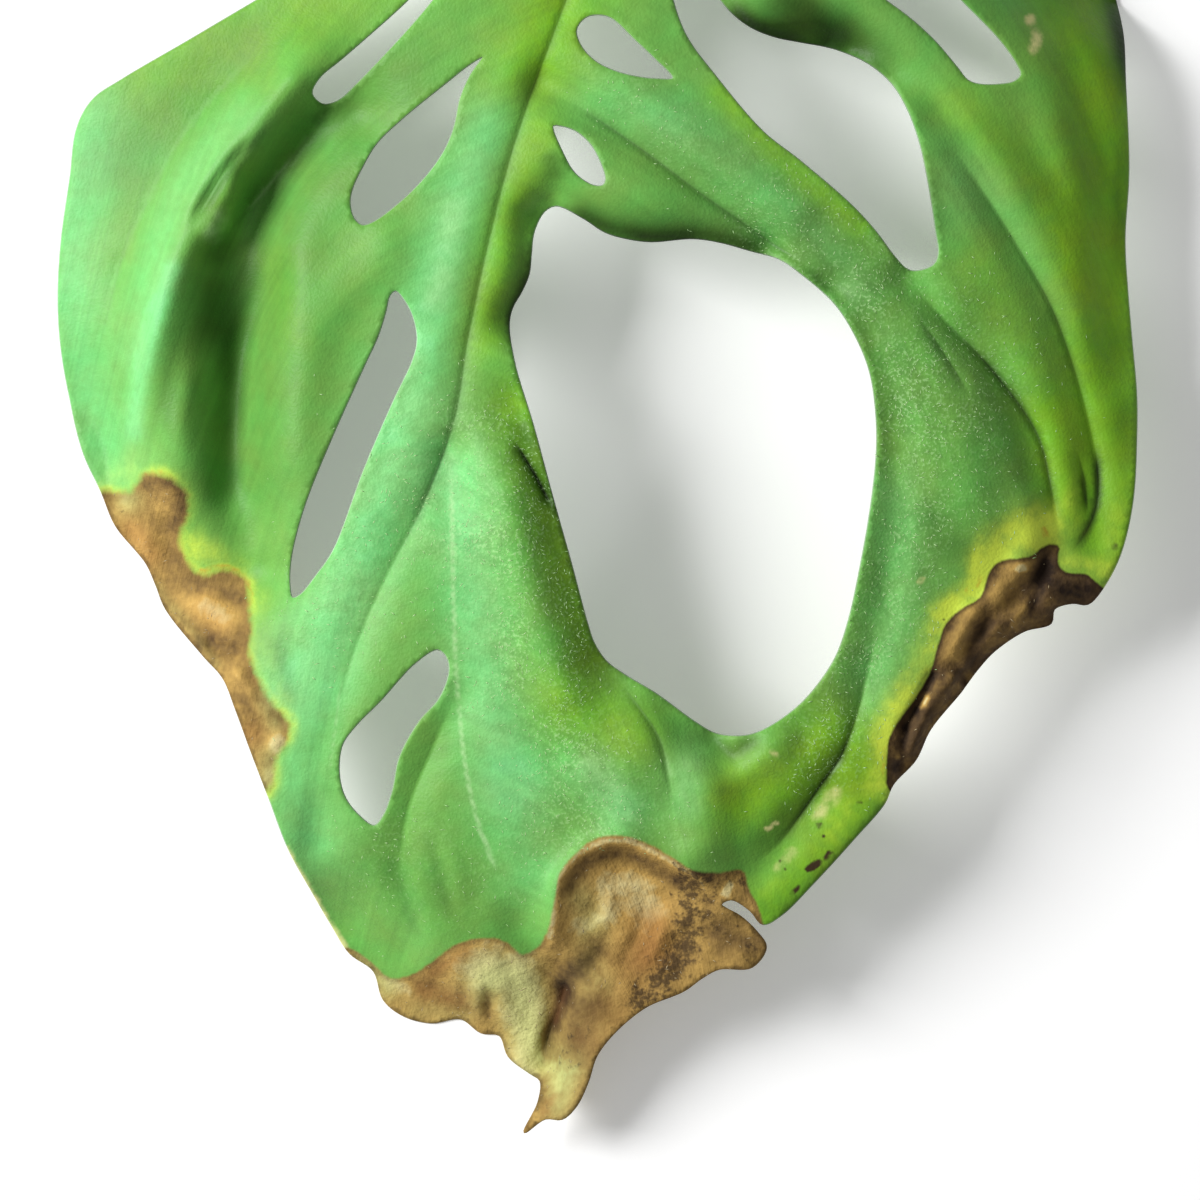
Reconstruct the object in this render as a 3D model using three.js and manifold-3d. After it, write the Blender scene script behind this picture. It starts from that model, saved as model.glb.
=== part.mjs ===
// A monstera leaf as picked, lying face up on a flat surface: one perforated blade, pleated along its
// side veins, with the midrib running under it into a cut stalk. The leaf grew as one piece, so it is one solid.
// Millimetres, +Z up. The plan is drawn about a point in the middle of the blade, with the tip towards -Y,
// and the finished leaf is moved so that its origin is the middle of its box, on the surface that it lies on.
import * as THREE from "three";
import { mergeVertices } from "three/addons/utils/BufferGeometryUtils.js";
import Module from "manifold-3d";

// Driving dimensions
const BLADE_THICKNESS = 1.0; // upright, so that the steepest folds are still 0.6 thick
const MESH_STEP = 2.5; // spacing of the blade's rows and columns
const EDGE_STEP = 2.2; // spacing of points along the margin and the holes
const STALK_RADIUS = 2.0;
const KNEE_RADIUS = 2.3; // the swollen joint where the stalk meets the blade
const MIDRIB_RADIUS = 1.3; // where it leaves the knee
const MIDRIB_TIP_RADIUS = 0.45;
const MIDRIB_COVER = 0.35; // blade left above the midrib
const STALK_SIDES = 10;
const STALK_STEPS = 34;
const CROWN = 15; // height of the underside at the top of the dome
const LEAF_GREEN = 0x5fae45;

// How far the dome drops from its crown to each side
const DOME = {
  crest: { x: 8, y: 15 },
  left: { drop: 12, span: 62 },
  right: { drop: 6, span: 46 },
  tip: { drop: 9, span: 68 },
  base: { drop: 3, span: 60 },
};

// Rows of the blade's mesh drop away from the midrib as the side veins do
const VEIN_SLOPE = 0.55;
const VEIN_CURVE = 0.006;

// The margin, from the notch at the stalk down the left side, round the tip and up the right side
const MARGIN = [
  // left lobe of the base and the left shoulder
  [1.8, 74.0], [-0.8, 75.8], [-5.5, 75.8], [-12.0, 73.0], [-20.0, 68.4], [-34.5, 60.0], [-41.1, 56.2],
  [-48.0, 52.3], [-51.0, 50.3], [-52.6, 47.5], [-53.3, 42.4], [-54.2, 36.0], [-54.5, 30.7], [-54.3, 26.0],
  [-53.5, 20.7], [-52.1, 14.9], [-50.2, 10.8],
  // dry, ragged left edge
  [-48.8, 7.5], [-45.7, 3.7], [-44.7, 1.5], [-43.7, -0.9], [-39.9, -5.5], [-37.8, -7.8], [-36.5, -10.9],
  [-35.0, -15.0], [-33.2, -19.7],
  // lower left edge
  [-31.3, -24.8], [-29.0, -29.2], [-26.9, -33.0], [-25.2, -35.6],
  // dry tip with its twisted point
  [-22.8, -37.4], [-21.8, -40.3], [-19.8, -41.9], [-17.0, -42.6], [-14.0, -42.2], [-12.0, -43.6],
  [-10.1, -43.9], [-9.2, -46.0], [-7.0, -47.7], [-6.0, -48.4], [-6.2, -50.5], [-7.6, -53.5], [-5.5, -52.1],
  [-3.8, -52.1], [-2.4, -50.8], [-1.2, -48.3], [-0.4, -45.8], [1.2, -43.6], [4.5, -40.8], [8.4, -39.1],
  [10.2, -37.8], [11.9, -36.9], [15.2, -36.7], [16.6, -34.7], [15.6, -33.1],
  // tear beside the tip
  [14.0, -31.6], [12.1, -30.4], [13.1, -29.9], [15.0, -31.0], [16.3, -32.4],
  // lower right edge
  [18.1, -31.5], [21.4, -28.2], [25.4, -23.8], [28.4, -20.3],
  // dry, shrunken right edge
  [29.2, -18.5], [31.5, -16.0], [33.0, -12.9], [36.2, -9.0], [37.5, -7.2], [39.4, -5.1], [42.4, -3.1],
  [45.1, -2.3], [45.4, -0.9], [47.2, -0.3], [48.8, -0.4],
  // right side and the right lobe of the base
  [50.0, 0.8], [51.9, 4.2], [53.2, 9.3], [53.7, 16.2], [53.7, 21.0], [52.9, 30.7], [52.6, 36.0],
  [53.0, 43.0], [52.7, 52.0], [52.5, 57.5], [51.2, 63.0], [48.5, 68.5], [43.0, 73.5], [35.0, 76.8],
  [26.0, 78.5], [17.0, 79.0], [10.0, 78.2], [5.5, 76.3],
];

// The holes, one between each two side veins
const HOLES = {
  upperLeftSlit: [
    [-13.2, 64.4], [-16.7, 59.8], [-20.0, 56.0], [-24.3, 51.6], [-26.3, 49.9], [-27.8, 49.6], [-28.8, 50.6],
    [-28.1, 52.1], [-25.8, 54.1], [-20.0, 59.2], [-15.6, 63.4],
  ],
  upperLeft: [
    [-11.7, 54.2], [-12.9, 52.4], [-13.9, 50.1], [-14.5, 47.3], [-15.4, 45.0], [-17.2, 42.4], [-20.0, 39.6],
    [-22.8, 37.6], [-23.8, 37.4], [-24.6, 38.1], [-25.0, 39.6], [-24.8, 41.0], [-23.8, 43.2], [-22.3, 45.7],
    [-20.0, 47.9], [-15.4, 51.6], [-13.1, 53.4],
  ],
  middleLeftSlit: [
    [-20.4, 30.9], [-19.3, 29.7], [-18.5, 27.9], [-18.2, 25.8], [-18.7, 23.8], [-20.5, 20.0], [-23.5, 13.1],
    [-26.6, 5.0], [-28.4, 2.4], [-30.0, 0.5], [-30.8, 0.2], [-31.1, 1.4], [-31.0, 4.0], [-29.7, 9.0],
    [-26.8, 16.2], [-23.5, 23.5], [-22.2, 26.3], [-21.4, 28.8], [-21.0, 30.4],
  ],
  lowerLeft: [
    [-16.2, -4.9], [-15.3, -5.6], [-15.0, -6.8], [-15.3, -8.3], [-16.2, -10.1], [-18.0, -12.1], [-20.0, -15.7],
    [-20.7, -19.0], [-21.6, -21.5], [-22.6, -22.6], [-24.2, -21.5], [-25.5, -19.8], [-26.1, -17.5],
    [-25.8, -14.5], [-24.3, -12.4], [-22.0, -10.1], [-18.5, -6.3],
  ],
  smallUpper: [
    [-2.4, 56.7], [-2.1, 57.5], [-1.3, 58.2], [-0.2, 58.4], [1.1, 58.1], [3.7, 55.7], [5.5, 54.0], [7.3, 52.0],
    [5.5, 51.9], [3.7, 52.1], [1.7, 52.6], [-0.4, 53.6], [-1.9, 55.2],
  ],
  smallLower: [
    [-4.7, 47.3], [-3.9, 47.3], [-2.4, 46.8], [-1.0, 45.6], [0.0, 43.9], [0.6, 41.9], [0.3, 41.3],
    [-0.7, 41.3], [-2.5, 42.5], [-3.7, 44.5],
  ],
  great: [
    [-4.4, 39.4], [-1.6, 38.1], [0.4, 36.8], [2.2, 36.2], [5.0, 35.8], [9.3, 36.1], [12.1, 35.7], [15.0, 34.9],
    [17.8, 34.1], [20.0, 32.6], [23.3, 29.7], [25.5, 26.3], [26.9, 22.8], [27.5, 19.0], [27.6, 15.0],
    [27.0, 9.3], [25.8, 2.5], [24.8, -2.0], [23.6, -5.5], [22.0, -8.1], [20.0, -10.4], [17.5, -12.3],
    [15.2, -13.4], [13.2, -13.6], [11.4, -13.3], [9.5, -12.2], [5.5, -9.3], [2.5, -7.5], [0.6, -6.1],
    [-0.6, -4.3], [-1.2, -2.6], [-2.9, 3.7], [-4.7, 10.1], [-6.7, 17.5], [-8.5, 23.5], [-9.1, 27.4],
    [-8.8, 29.1], [-7.8, 30.9], [-7.1, 32.6], [-6.9, 34.5], [-6.6, 36.8], [-5.6, 38.8],
  ],
  upperRight: [
    [6.4, 64.5], [7.2, 60.0], [8.6, 56.2], [11.6, 52.1], [16.2, 46.7], [20.0, 43.7], [25.1, 39.3], [27.5, 36.7],
    [29.3, 34.3], [30.6, 33.0], [31.6, 32.8], [33.3, 33.4], [33.8, 34.5], [33.5, 37.0], [32.7, 42.0],
    [31.9, 45.7], [30.7, 49.0], [29.2, 51.6], [26.9, 53.6], [24.0, 55.0], [20.0, 55.8], [17.5, 56.3],
    [15.2, 57.2], [13.3, 58.6], [11.8, 60.3], [9.5, 63.2], [7.8, 65.0],
  ],
  outerRight: [
    [18.3, 70.0], [20.0, 66.8], [24.0, 63.2], [28.3, 60.0], [31.0, 58.0], [33.5, 55.7], [35.7, 53.1],
    [36.7, 51.9], [37.8, 51.5], [40.0, 51.5], [41.4, 51.8], [42.1, 52.5], [41.7, 53.6], [40.0, 56.0],
    [36.1, 60.0], [32.0, 64.2], [27.0, 68.8], [22.5, 71.5], [19.8, 71.6],
  ],
};

// The midrib, from the knee at the stalk to the tip
const MIDRIB = [
  [2.2, 75.5], [-3.4, 60.0], [-9.0, 44.2], [-13.1, 26.8], [-14.9, 10.0], [-14.2, -9.3], [-12.8, -20.0],
  [-9.5, -29.0], [-6.2, -36.0], [-5.9, -48.0],
];

// The stalk, from its cut end on the surface to the knee: x, y and the height of its axis
const STALK = [
  [6.0, 108.0, 2.0],
  [5.3, 102.5, 2.8],
  [3.8, 92.0, 6.6],
  [2.9, 83.0, 9.4],
];

// Ridges (rise above 0) and valleys (rise below 0) of the blade. Each runs along its path and fades over its reach.
const FOLDS = [
  { path: MIDRIB, rise: -0.9, reach: 2.2 },
  // left side: outer ridge, deep fold, inner ridge, and two side veins
  { path: [[-29, 52], [-33.8, 47.2], [-40, 39.5], [-43.4, 30], [-44.2, 21], [-43.6, 13.5]], rise: 2.8, reach: 4.6 },
  {
    path: [[-25.5, 48.8], [-30.8, 43.5], [-35, 36.5], [-36.2, 29], [-36, 20], [-35.2, 12], [-33.8, 4]],
    rise: -3.7, reach: 4,
  },
  { path: [[-21.5, 35], [-26.5, 30], [-29.5, 22], [-30.8, 14], [-32, 6]], rise: 0.9, reach: 3 },
  { path: [[-15.2, 14.2], [-20, 6], [-24.3, -3], [-26.5, -10.5], [-27.8, -18], [-28.2, -24]], rise: -0.9, reach: 2 },
  { path: [[-14.2, -10], [-16.8, -15], [-19.2, -21], [-20.2, -28], [-19.5, -35]], rise: -0.7, reach: 2 },
  // right side: the vein round the great hole, and those out to the dry corner
  { path: [[-5.5, 51.5], [4, 45.2], [15.7, 37.5], [23, 31.5]], rise: -1.1, reach: 2 },
  {
    path: [[23, 31.5], [26.8, 26.5], [29.2, 18], [29, 4], [27.2, -5], [24.5, -14.5], [19, -23.5], [14, -28.5]],
    rise: -0.7, reach: 2,
  },
  {
    path: [[-1, 66], [8, 67.5], [23, 59.5], [33.5, 49.5], [40.4, 37.6], [45.5, 27.4], [49.4, 13], [49.2, 6]],
    rise: -1, reach: 2,
  },
  { path: [[30.8, 32.2], [34.5, 27.5], [38.9, 24], [42.2, 17.5], [45.3, 5.5]], rise: -1.1, reach: 2 },
  { path: [[4, 72], [20, 74], [38, 64], [46, 56], [49.5, 46], [50.5, 34], [50.8, 22]], rise: -0.8, reach: 2.2 },
  // panels that swell between the veins
  { path: [[-10, 13], [-7.5, 4], [-4, -6], [0, -16]], rise: 0.9, reach: 4.5 },
  { path: [[4, -10], [7.2, -18], [9, -25]], rise: 0.8, reach: 2.6 },
  { path: [[10.5, -14.5], [13.8, -20], [14.8, -26]], rise: -1, reach: 2.4 },
  { path: [[16.5, -15.2], [21, -16.8], [24.5, -13.5]], rise: 0.8, reach: 2.4 },
  { path: [[33, 27], [36, 17], [37.5, 8]], rise: 0.9, reach: 3.5 },
  { path: [[1, 54], [9, 46], [19, 38.5]], rise: 0.6, reach: 2.6 },
  // edges that curl down, round the holes and at the right margin
  { path: [[-4.4, 39.5], [0, 37], [5, 36], [10, 36], [16, 34.8]], rise: -2.4, reach: 2.4 },
  { path: [[-6.5, 38], [-7, 32.5], [-8.9, 28.2]], rise: -2.2, reach: 2 },
  { path: [[-8, 20], [-4.5, 10], [-1.5, 0], [1.2, -6.5], [10, -13]], rise: -1.2, reach: 3 },
  { path: [[12.2, 60.5], [14.5, 57.5], [19, 56], [24, 55]], rise: -2.6, reach: 2.4 },
  { path: [[53.8, 61], [54.4, 50], [54.2, 40], [54.4, 27]], rise: -2.4, reach: 3.8 },
  // the dry tip: a cupped hollow, its raised rim and the crease beside the point
  { path: [[4, -28], [6, -33], [3, -37]], rise: -1.8, reach: 4.5 },
  { path: [[-4.8, -33], [-2.8, -27], [2, -23.8], [8, -26.2], [13, -29]], rise: 1, reach: 2 },
  { path: [[-4.4, -37.5], [-5.5, -47]], rise: -1.6, reach: 2 },
  // the three edges that bend down to the surface: dry left edge, left of the tip, right lobe of the base
  { path: [[-51.8, 14], [-49, 7.5], [-44, 1]], rise: -5.2, reach: 9.5 },
  { path: [[-27, -34.5], [-21.5, -40.8], [-16, -43], [-11, -44.2]], rise: -7.2, reach: 7 },
  { path: [[51, 66], [44, 73]], rise: -9.5, reach: 8.5 },
];

const wasm = await Module();
wasm.setup();

// A closed geometry as a solid for joining and cutting
function solidOf(geometry) {
  const bare = new THREE.BufferGeometry();
  bare.setAttribute("position", geometry.getAttribute("position"));
  bare.setIndex(geometry.getIndex());
  const merged = mergeVertices(bare, 1e-4);
  return new wasm.Manifold(
    new wasm.Mesh({
      numProp: 3,
      vertProperties: merged.getAttribute("position").array,
      triVerts: new Uint32Array(merged.getIndex().array),
    }),
  );
}

// A solid's surface as a geometry
function geometryOf(solid) {
  const { vertProperties, triVerts } = solid.getMesh();
  const geometry = new THREE.BufferGeometry();
  geometry.setAttribute("position", new THREE.BufferAttribute(vertProperties, 3));
  geometry.setIndex(new THREE.BufferAttribute(triVerts, 1));
  return geometry;
}

// A smooth curve through points of the plan
function planCurve(points, closed = false) {
  const inSpace = points.map(([x, y]) => new THREE.Vector3(x, y, 0));
  return new THREE.CatmullRomCurve3(inSpace, closed, "centripetal");
}

// Points of the plan along a curve, about step apart, that take in every point it was drawn through
function pointsAlong(curve, step) {
  const drawn = curve.closed ? [...curve.points, curve.points[0]] : curve.points;
  const spans = drawn.length - 1;
  const points = [];
  for (let span = 0; span < spans; span++) {
    const pieces = Math.max(1, Math.round(drawn[span].distanceTo(drawn[span + 1]) / step));
    for (let piece = 0; piece < pieces; piece++) points.push(curve.getPoint((span + piece / pieces) / spans));
  }
  if (!curve.closed) points.push(drawn[spans]);
  return points.map((p) => new THREE.Vector2(p.x, p.y));
}

// Distance from a point of the plan to a chain of straight pieces
function distanceTo(chain, x, y) {
  let least = Infinity;
  for (let i = 1; i < chain.length; i++) {
    const [a, b] = [chain[i - 1], chain[i]];
    const [dx, dy] = [b.x - a.x, b.y - a.y];
    const along = ((x - a.x) * dx + (y - a.y) * dy) / (dx * dx + dy * dy);
    const share = THREE.MathUtils.clamp(along, 0, 1);
    least = Math.min(least, Math.hypot(x - a.x - share * dx, y - a.y - share * dy));
  }
  return least;
}

const foldChains = FOLDS.map(({ path }) => pointsAlong(planCurve(path), MESH_STEP));

// Height of the blade's underside: the dome with its folds, flattened where it would sink into the surface
function undersideHeight(x, y) {
  const { crest, left, right, tip, base } = DOME;
  const across = x < crest.x ? left : right;
  const along = y < crest.y ? tip : base;
  let height = CROWN;
  height -= across.drop * ((x - crest.x) / across.span) ** 2;
  height -= along.drop * ((y - crest.y) / along.span) ** 2;
  FOLDS.forEach(({ rise, reach }, i) => {
    height += rise * Math.exp(-((distanceTo(foldChains[i], x, y) / reach) ** 2));
  });
  return Math.max(height, 0);
}

// The whole waved sheet that the blade is cut from. Rows follow the side veins and columns the midrib.
// Each cell is split along the diagonal that lies nearer the folds, the same one on both faces.
function wavedSheet() {
  const box = new THREE.Box2().setFromPoints(pointsAlong(planCurve(MARGIN, true), EDGE_STEP));
  const midrib = pointsAlong(planCurve(MIDRIB), MESH_STEP);
  const midribX = (y) => {
    const next = midrib.findIndex((p) => p.y < y);
    if (next === 0) return midrib[0].x;
    if (next < 0) return midrib.at(-1).x;
    const [a, b] = [midrib[next - 1], midrib[next]];
    return THREE.MathUtils.mapLinear(y, a.y, b.y, a.x, b.x);
  };
  const drop = (offset) => VEIN_SLOPE * Math.abs(offset) + VEIN_CURVE * offset * offset;

  const reach = box.max.x - box.min.x;
  const columns = Math.ceil(reach / MESH_STEP);
  const rows = Math.ceil((box.max.y - box.min.y + drop(reach)) / MESH_STEP) + 2;
  const points = [];
  for (let row = 0; row <= rows; row++) {
    for (let column = -columns; column <= columns; column++) {
      const start = box.min.y - MESH_STEP + row * MESH_STEP;
      const x = midribX(start) + column * MESH_STEP;
      const y = start - drop(column * MESH_STEP);
      points.push(new THREE.Vector3(x, y, undersideHeight(x, y)));
    }
  }

  const strayOf = (from, to) => {
    const middle = from.clone().lerp(to, 0.5);
    return Math.abs(undersideHeight(middle.x, middle.y) - middle.z);
  };
  const across = 2 * columns + 1;
  const at = (row, column) => row * across + column;
  const lower = points.length;
  const index = [];
  const face = (a, b, c) => {
    index.push(a, b, c);
    index.push(lower + a, lower + c, lower + b);
  };
  for (let row = 0; row < rows; row++) {
    for (let column = 0; column < across - 1; column++) {
      const [a, b] = [at(row, column), at(row, column + 1)];
      const [d, c] = [at(row + 1, column), at(row + 1, column + 1)];
      if (strayOf(points[a], points[c]) < strayOf(points[b], points[d])) {
        face(a, b, c);
        face(a, c, d);
      } else {
        face(a, b, d);
        face(b, c, d);
      }
    }
  }
  const wall = (a, b) => index.push(a, lower + a, b, b, lower + a, lower + b);
  for (let column = 0; column < across - 1; column++) {
    wall(at(0, column), at(0, column + 1));
    wall(at(rows, column + 1), at(rows, column));
  }
  for (let row = 0; row < rows; row++) {
    wall(at(row + 1, 0), at(row, 0));
    wall(at(row, across - 1), at(row + 1, across - 1));
  }

  const upper = points.map((p) => p.clone().setZ(p.z + BLADE_THICKNESS));
  const sheet = new THREE.BufferGeometry().setFromPoints([...upper, ...points]);
  sheet.setIndex(index);
  return sheet;
}

// The blade's outline with its holes, as an upright prism through the sheet
function outlinePrism() {
  const outline = new THREE.Shape(pointsAlong(planCurve(MARGIN, true), EDGE_STEP));
  outline.holes = Object.values(HOLES).map(
    (points) => new THREE.Path(pointsAlong(planCurve(points, true), EDGE_STEP)),
  );
  const below = CROWN;
  const prism = new THREE.ExtrudeGeometry(outline, { depth: 4 * CROWN, bevelEnabled: false });
  return prism.translate(0, 0, -below);
}

// The stalk and midrib as one tapering rod: a cylinder bent along its curve
function stalkAndMidrib() {
  const rib = pointsAlong(planCurve(MIDRIB), 2 * MESH_STEP);
  const knee = STALK.length;
  const taper = (share) => THREE.MathUtils.lerp(MIDRIB_RADIUS, MIDRIB_TIP_RADIUS, share);
  const stations = STALK.map(([x, y, z], i) => ({
    axis: new THREE.Vector3(x, y, z),
    radius: i === knee - 1 ? KNEE_RADIUS : STALK_RADIUS,
  }));
  rib.forEach(({ x, y }, i) => {
    const radius = taper(i / (rib.length - 1));
    const z = undersideHeight(x, y) + BLADE_THICKNESS - MIDRIB_COVER - radius;
    stations.push({ axis: new THREE.Vector3(x, y, z), radius });
  });
  const curve = new THREE.CatmullRomCurve3(stations.map((s) => s.axis), false, "centripetal");
  const radiusAt = (t) => {
    const place = t * (stations.length - 1);
    const before = Math.min(Math.floor(place), stations.length - 2);
    return THREE.MathUtils.lerp(stations[before].radius, stations[before + 1].radius, place - before);
  };

  const rod = new THREE.CylinderGeometry(1, 1, 1, STALK_SIDES, STALK_STEPS);
  const position = rod.getAttribute("position");
  const up = new THREE.Vector3(0, 0, 1);
  for (let i = 0; i < position.count; i++) {
    const t = THREE.MathUtils.clamp(position.getY(i) + 0.5, 0, 1);
    const tangent = curve.getTangent(t);
    const side = new THREE.Vector3().crossVectors(up, tangent).normalize();
    const over = new THREE.Vector3().crossVectors(tangent, side);
    const place = curve.getPoint(t);
    place.addScaledVector(side, position.getX(i) * radiusAt(t));
    place.addScaledVector(over, -position.getZ(i) * radiusAt(t));
    position.setXYZ(i, place.x, place.y, Math.max(place.z, 0));
  }
  return rod;
}

function leafGeometry() {
  const blade = solidOf(wavedSheet()).intersect(solidOf(outlinePrism()));
  const leaf = geometryOf(blade.add(solidOf(stalkAndMidrib())));
  leaf.computeBoundingBox();
  const middle = leaf.boundingBox.getCenter(new THREE.Vector3());
  return leaf.translate(-middle.x, -middle.y, -leaf.boundingBox.min.z);
}

const waxyGreen = new THREE.MeshStandardMaterial({ color: LEAF_GREEN, roughness: 0.5, metalness: 0 });
const leaf = new THREE.Mesh(leafGeometry(), waxyGreen);
leaf.name = "leaf";

const monsteraLeaf = new THREE.Group();
monsteraLeaf.add(leaf);
export default monsteraLeaf;
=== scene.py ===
"""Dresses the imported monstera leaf: its waved blade, its stalk and ribs, and the light it lies in.

The leaf is drawn in plan, in millimetres, looking straight down on it with the tip towards -Y. A place
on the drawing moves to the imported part's frame by one shift, worked out from the part's own box.
"""

from __future__ import annotations

import logging
from dataclasses import dataclass, field
from enum import Enum
from typing import Any, Iterable, Mapping, Sequence

import bpy
import numpy as np
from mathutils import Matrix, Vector
from mathutils.geometry import delaunay_2d_cdt
from mathutils.kdtree import KDTree

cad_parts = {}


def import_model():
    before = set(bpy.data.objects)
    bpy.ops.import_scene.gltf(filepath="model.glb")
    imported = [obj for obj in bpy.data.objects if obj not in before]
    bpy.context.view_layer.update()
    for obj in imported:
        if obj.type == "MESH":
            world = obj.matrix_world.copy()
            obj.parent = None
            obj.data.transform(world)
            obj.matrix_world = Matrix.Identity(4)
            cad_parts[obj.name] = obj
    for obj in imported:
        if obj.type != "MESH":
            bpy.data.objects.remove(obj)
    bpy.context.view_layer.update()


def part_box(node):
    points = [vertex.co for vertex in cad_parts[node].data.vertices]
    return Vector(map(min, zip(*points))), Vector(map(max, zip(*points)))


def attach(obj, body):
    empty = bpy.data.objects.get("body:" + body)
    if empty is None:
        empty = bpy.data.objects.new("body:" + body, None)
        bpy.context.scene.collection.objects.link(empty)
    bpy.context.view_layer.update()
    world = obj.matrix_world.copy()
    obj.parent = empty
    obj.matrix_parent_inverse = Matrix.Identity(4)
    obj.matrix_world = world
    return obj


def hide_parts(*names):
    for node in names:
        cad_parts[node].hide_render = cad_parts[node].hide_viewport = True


LOG = logging.getLogger("monstera_leaf")

MM = 0.001
NODE = "leaf"
BODY = "root"

Point = tuple[float, float]
Line = Sequence[Point]

# The margin, from the notch at the stalk down the left side, round the tip and up the right side
MARGIN: Line = (
    # left lobe of the base and the left shoulder
    (1.8, 74.0), (-0.8, 75.8), (-5.5, 75.8), (-12.0, 73.0), (-20.0, 68.4), (-34.5, 60.0), (-41.1, 56.2),
    (-48.0, 52.3), (-51.0, 50.3), (-52.6, 47.5), (-53.3, 42.4), (-54.2, 36.0), (-54.5, 30.7),
    (-54.3, 26.0), (-53.5, 20.7), (-52.1, 14.9), (-50.2, 10.8),
    # dry, ragged left edge
    (-48.8, 7.5), (-45.7, 3.7), (-44.7, 1.5), (-43.7, -0.9), (-39.9, -5.5), (-37.8, -7.8), (-36.5, -10.9),
    (-35.0, -15.0), (-33.2, -19.7),
    # lower left edge
    (-31.3, -24.8), (-29.0, -29.2), (-26.9, -33.0), (-25.2, -35.6),
    # dry tip with its twisted point
    (-22.8, -37.4), (-21.8, -40.3), (-19.8, -41.9), (-17.0, -42.6), (-14.0, -42.2), (-12.0, -43.6),
    (-10.1, -43.9), (-9.2, -46.0), (-7.0, -47.7), (-6.0, -48.4), (-6.2, -50.5), (-7.6, -53.5),
    (-5.5, -52.1), (-3.8, -52.1), (-2.4, -50.8), (-1.2, -48.3), (-0.4, -45.8), (1.2, -43.6), (4.5, -40.8),
    (8.4, -39.1), (10.2, -37.8), (11.9, -36.9), (15.2, -36.7), (16.6, -34.7), (15.6, -33.1),
    # tear beside the tip
    (14.0, -31.6), (12.1, -30.4), (13.1, -29.9), (15.0, -31.0), (16.3, -32.4),
    # lower right edge
    (18.1, -31.5), (21.4, -28.2), (25.4, -23.8), (28.4, -20.3),
    # dry, ragged right edge
    (29.2, -18.5), (31.5, -16.0), (33.0, -12.9), (36.2, -9.0), (37.5, -7.2), (39.4, -5.1), (42.4, -3.1),
    (45.1, -2.3), (45.4, -0.9), (47.2, -0.3), (48.8, -0.4),
    # right edge and right lobe of the base
    (50.0, 0.8), (51.9, 4.2), (53.2, 9.3), (53.7, 16.2), (53.7, 21.0), (52.9, 30.7), (52.6, 36.0),
    (53.0, 43.0), (52.7, 52.0), (52.5, 57.5), (51.2, 63.0), (48.5, 68.5), (43.0, 73.5), (35.0, 76.8),
    (26.0, 78.5), (17.0, 79.0), (10.0, 78.2), (5.5, 76.3),
)

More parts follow.
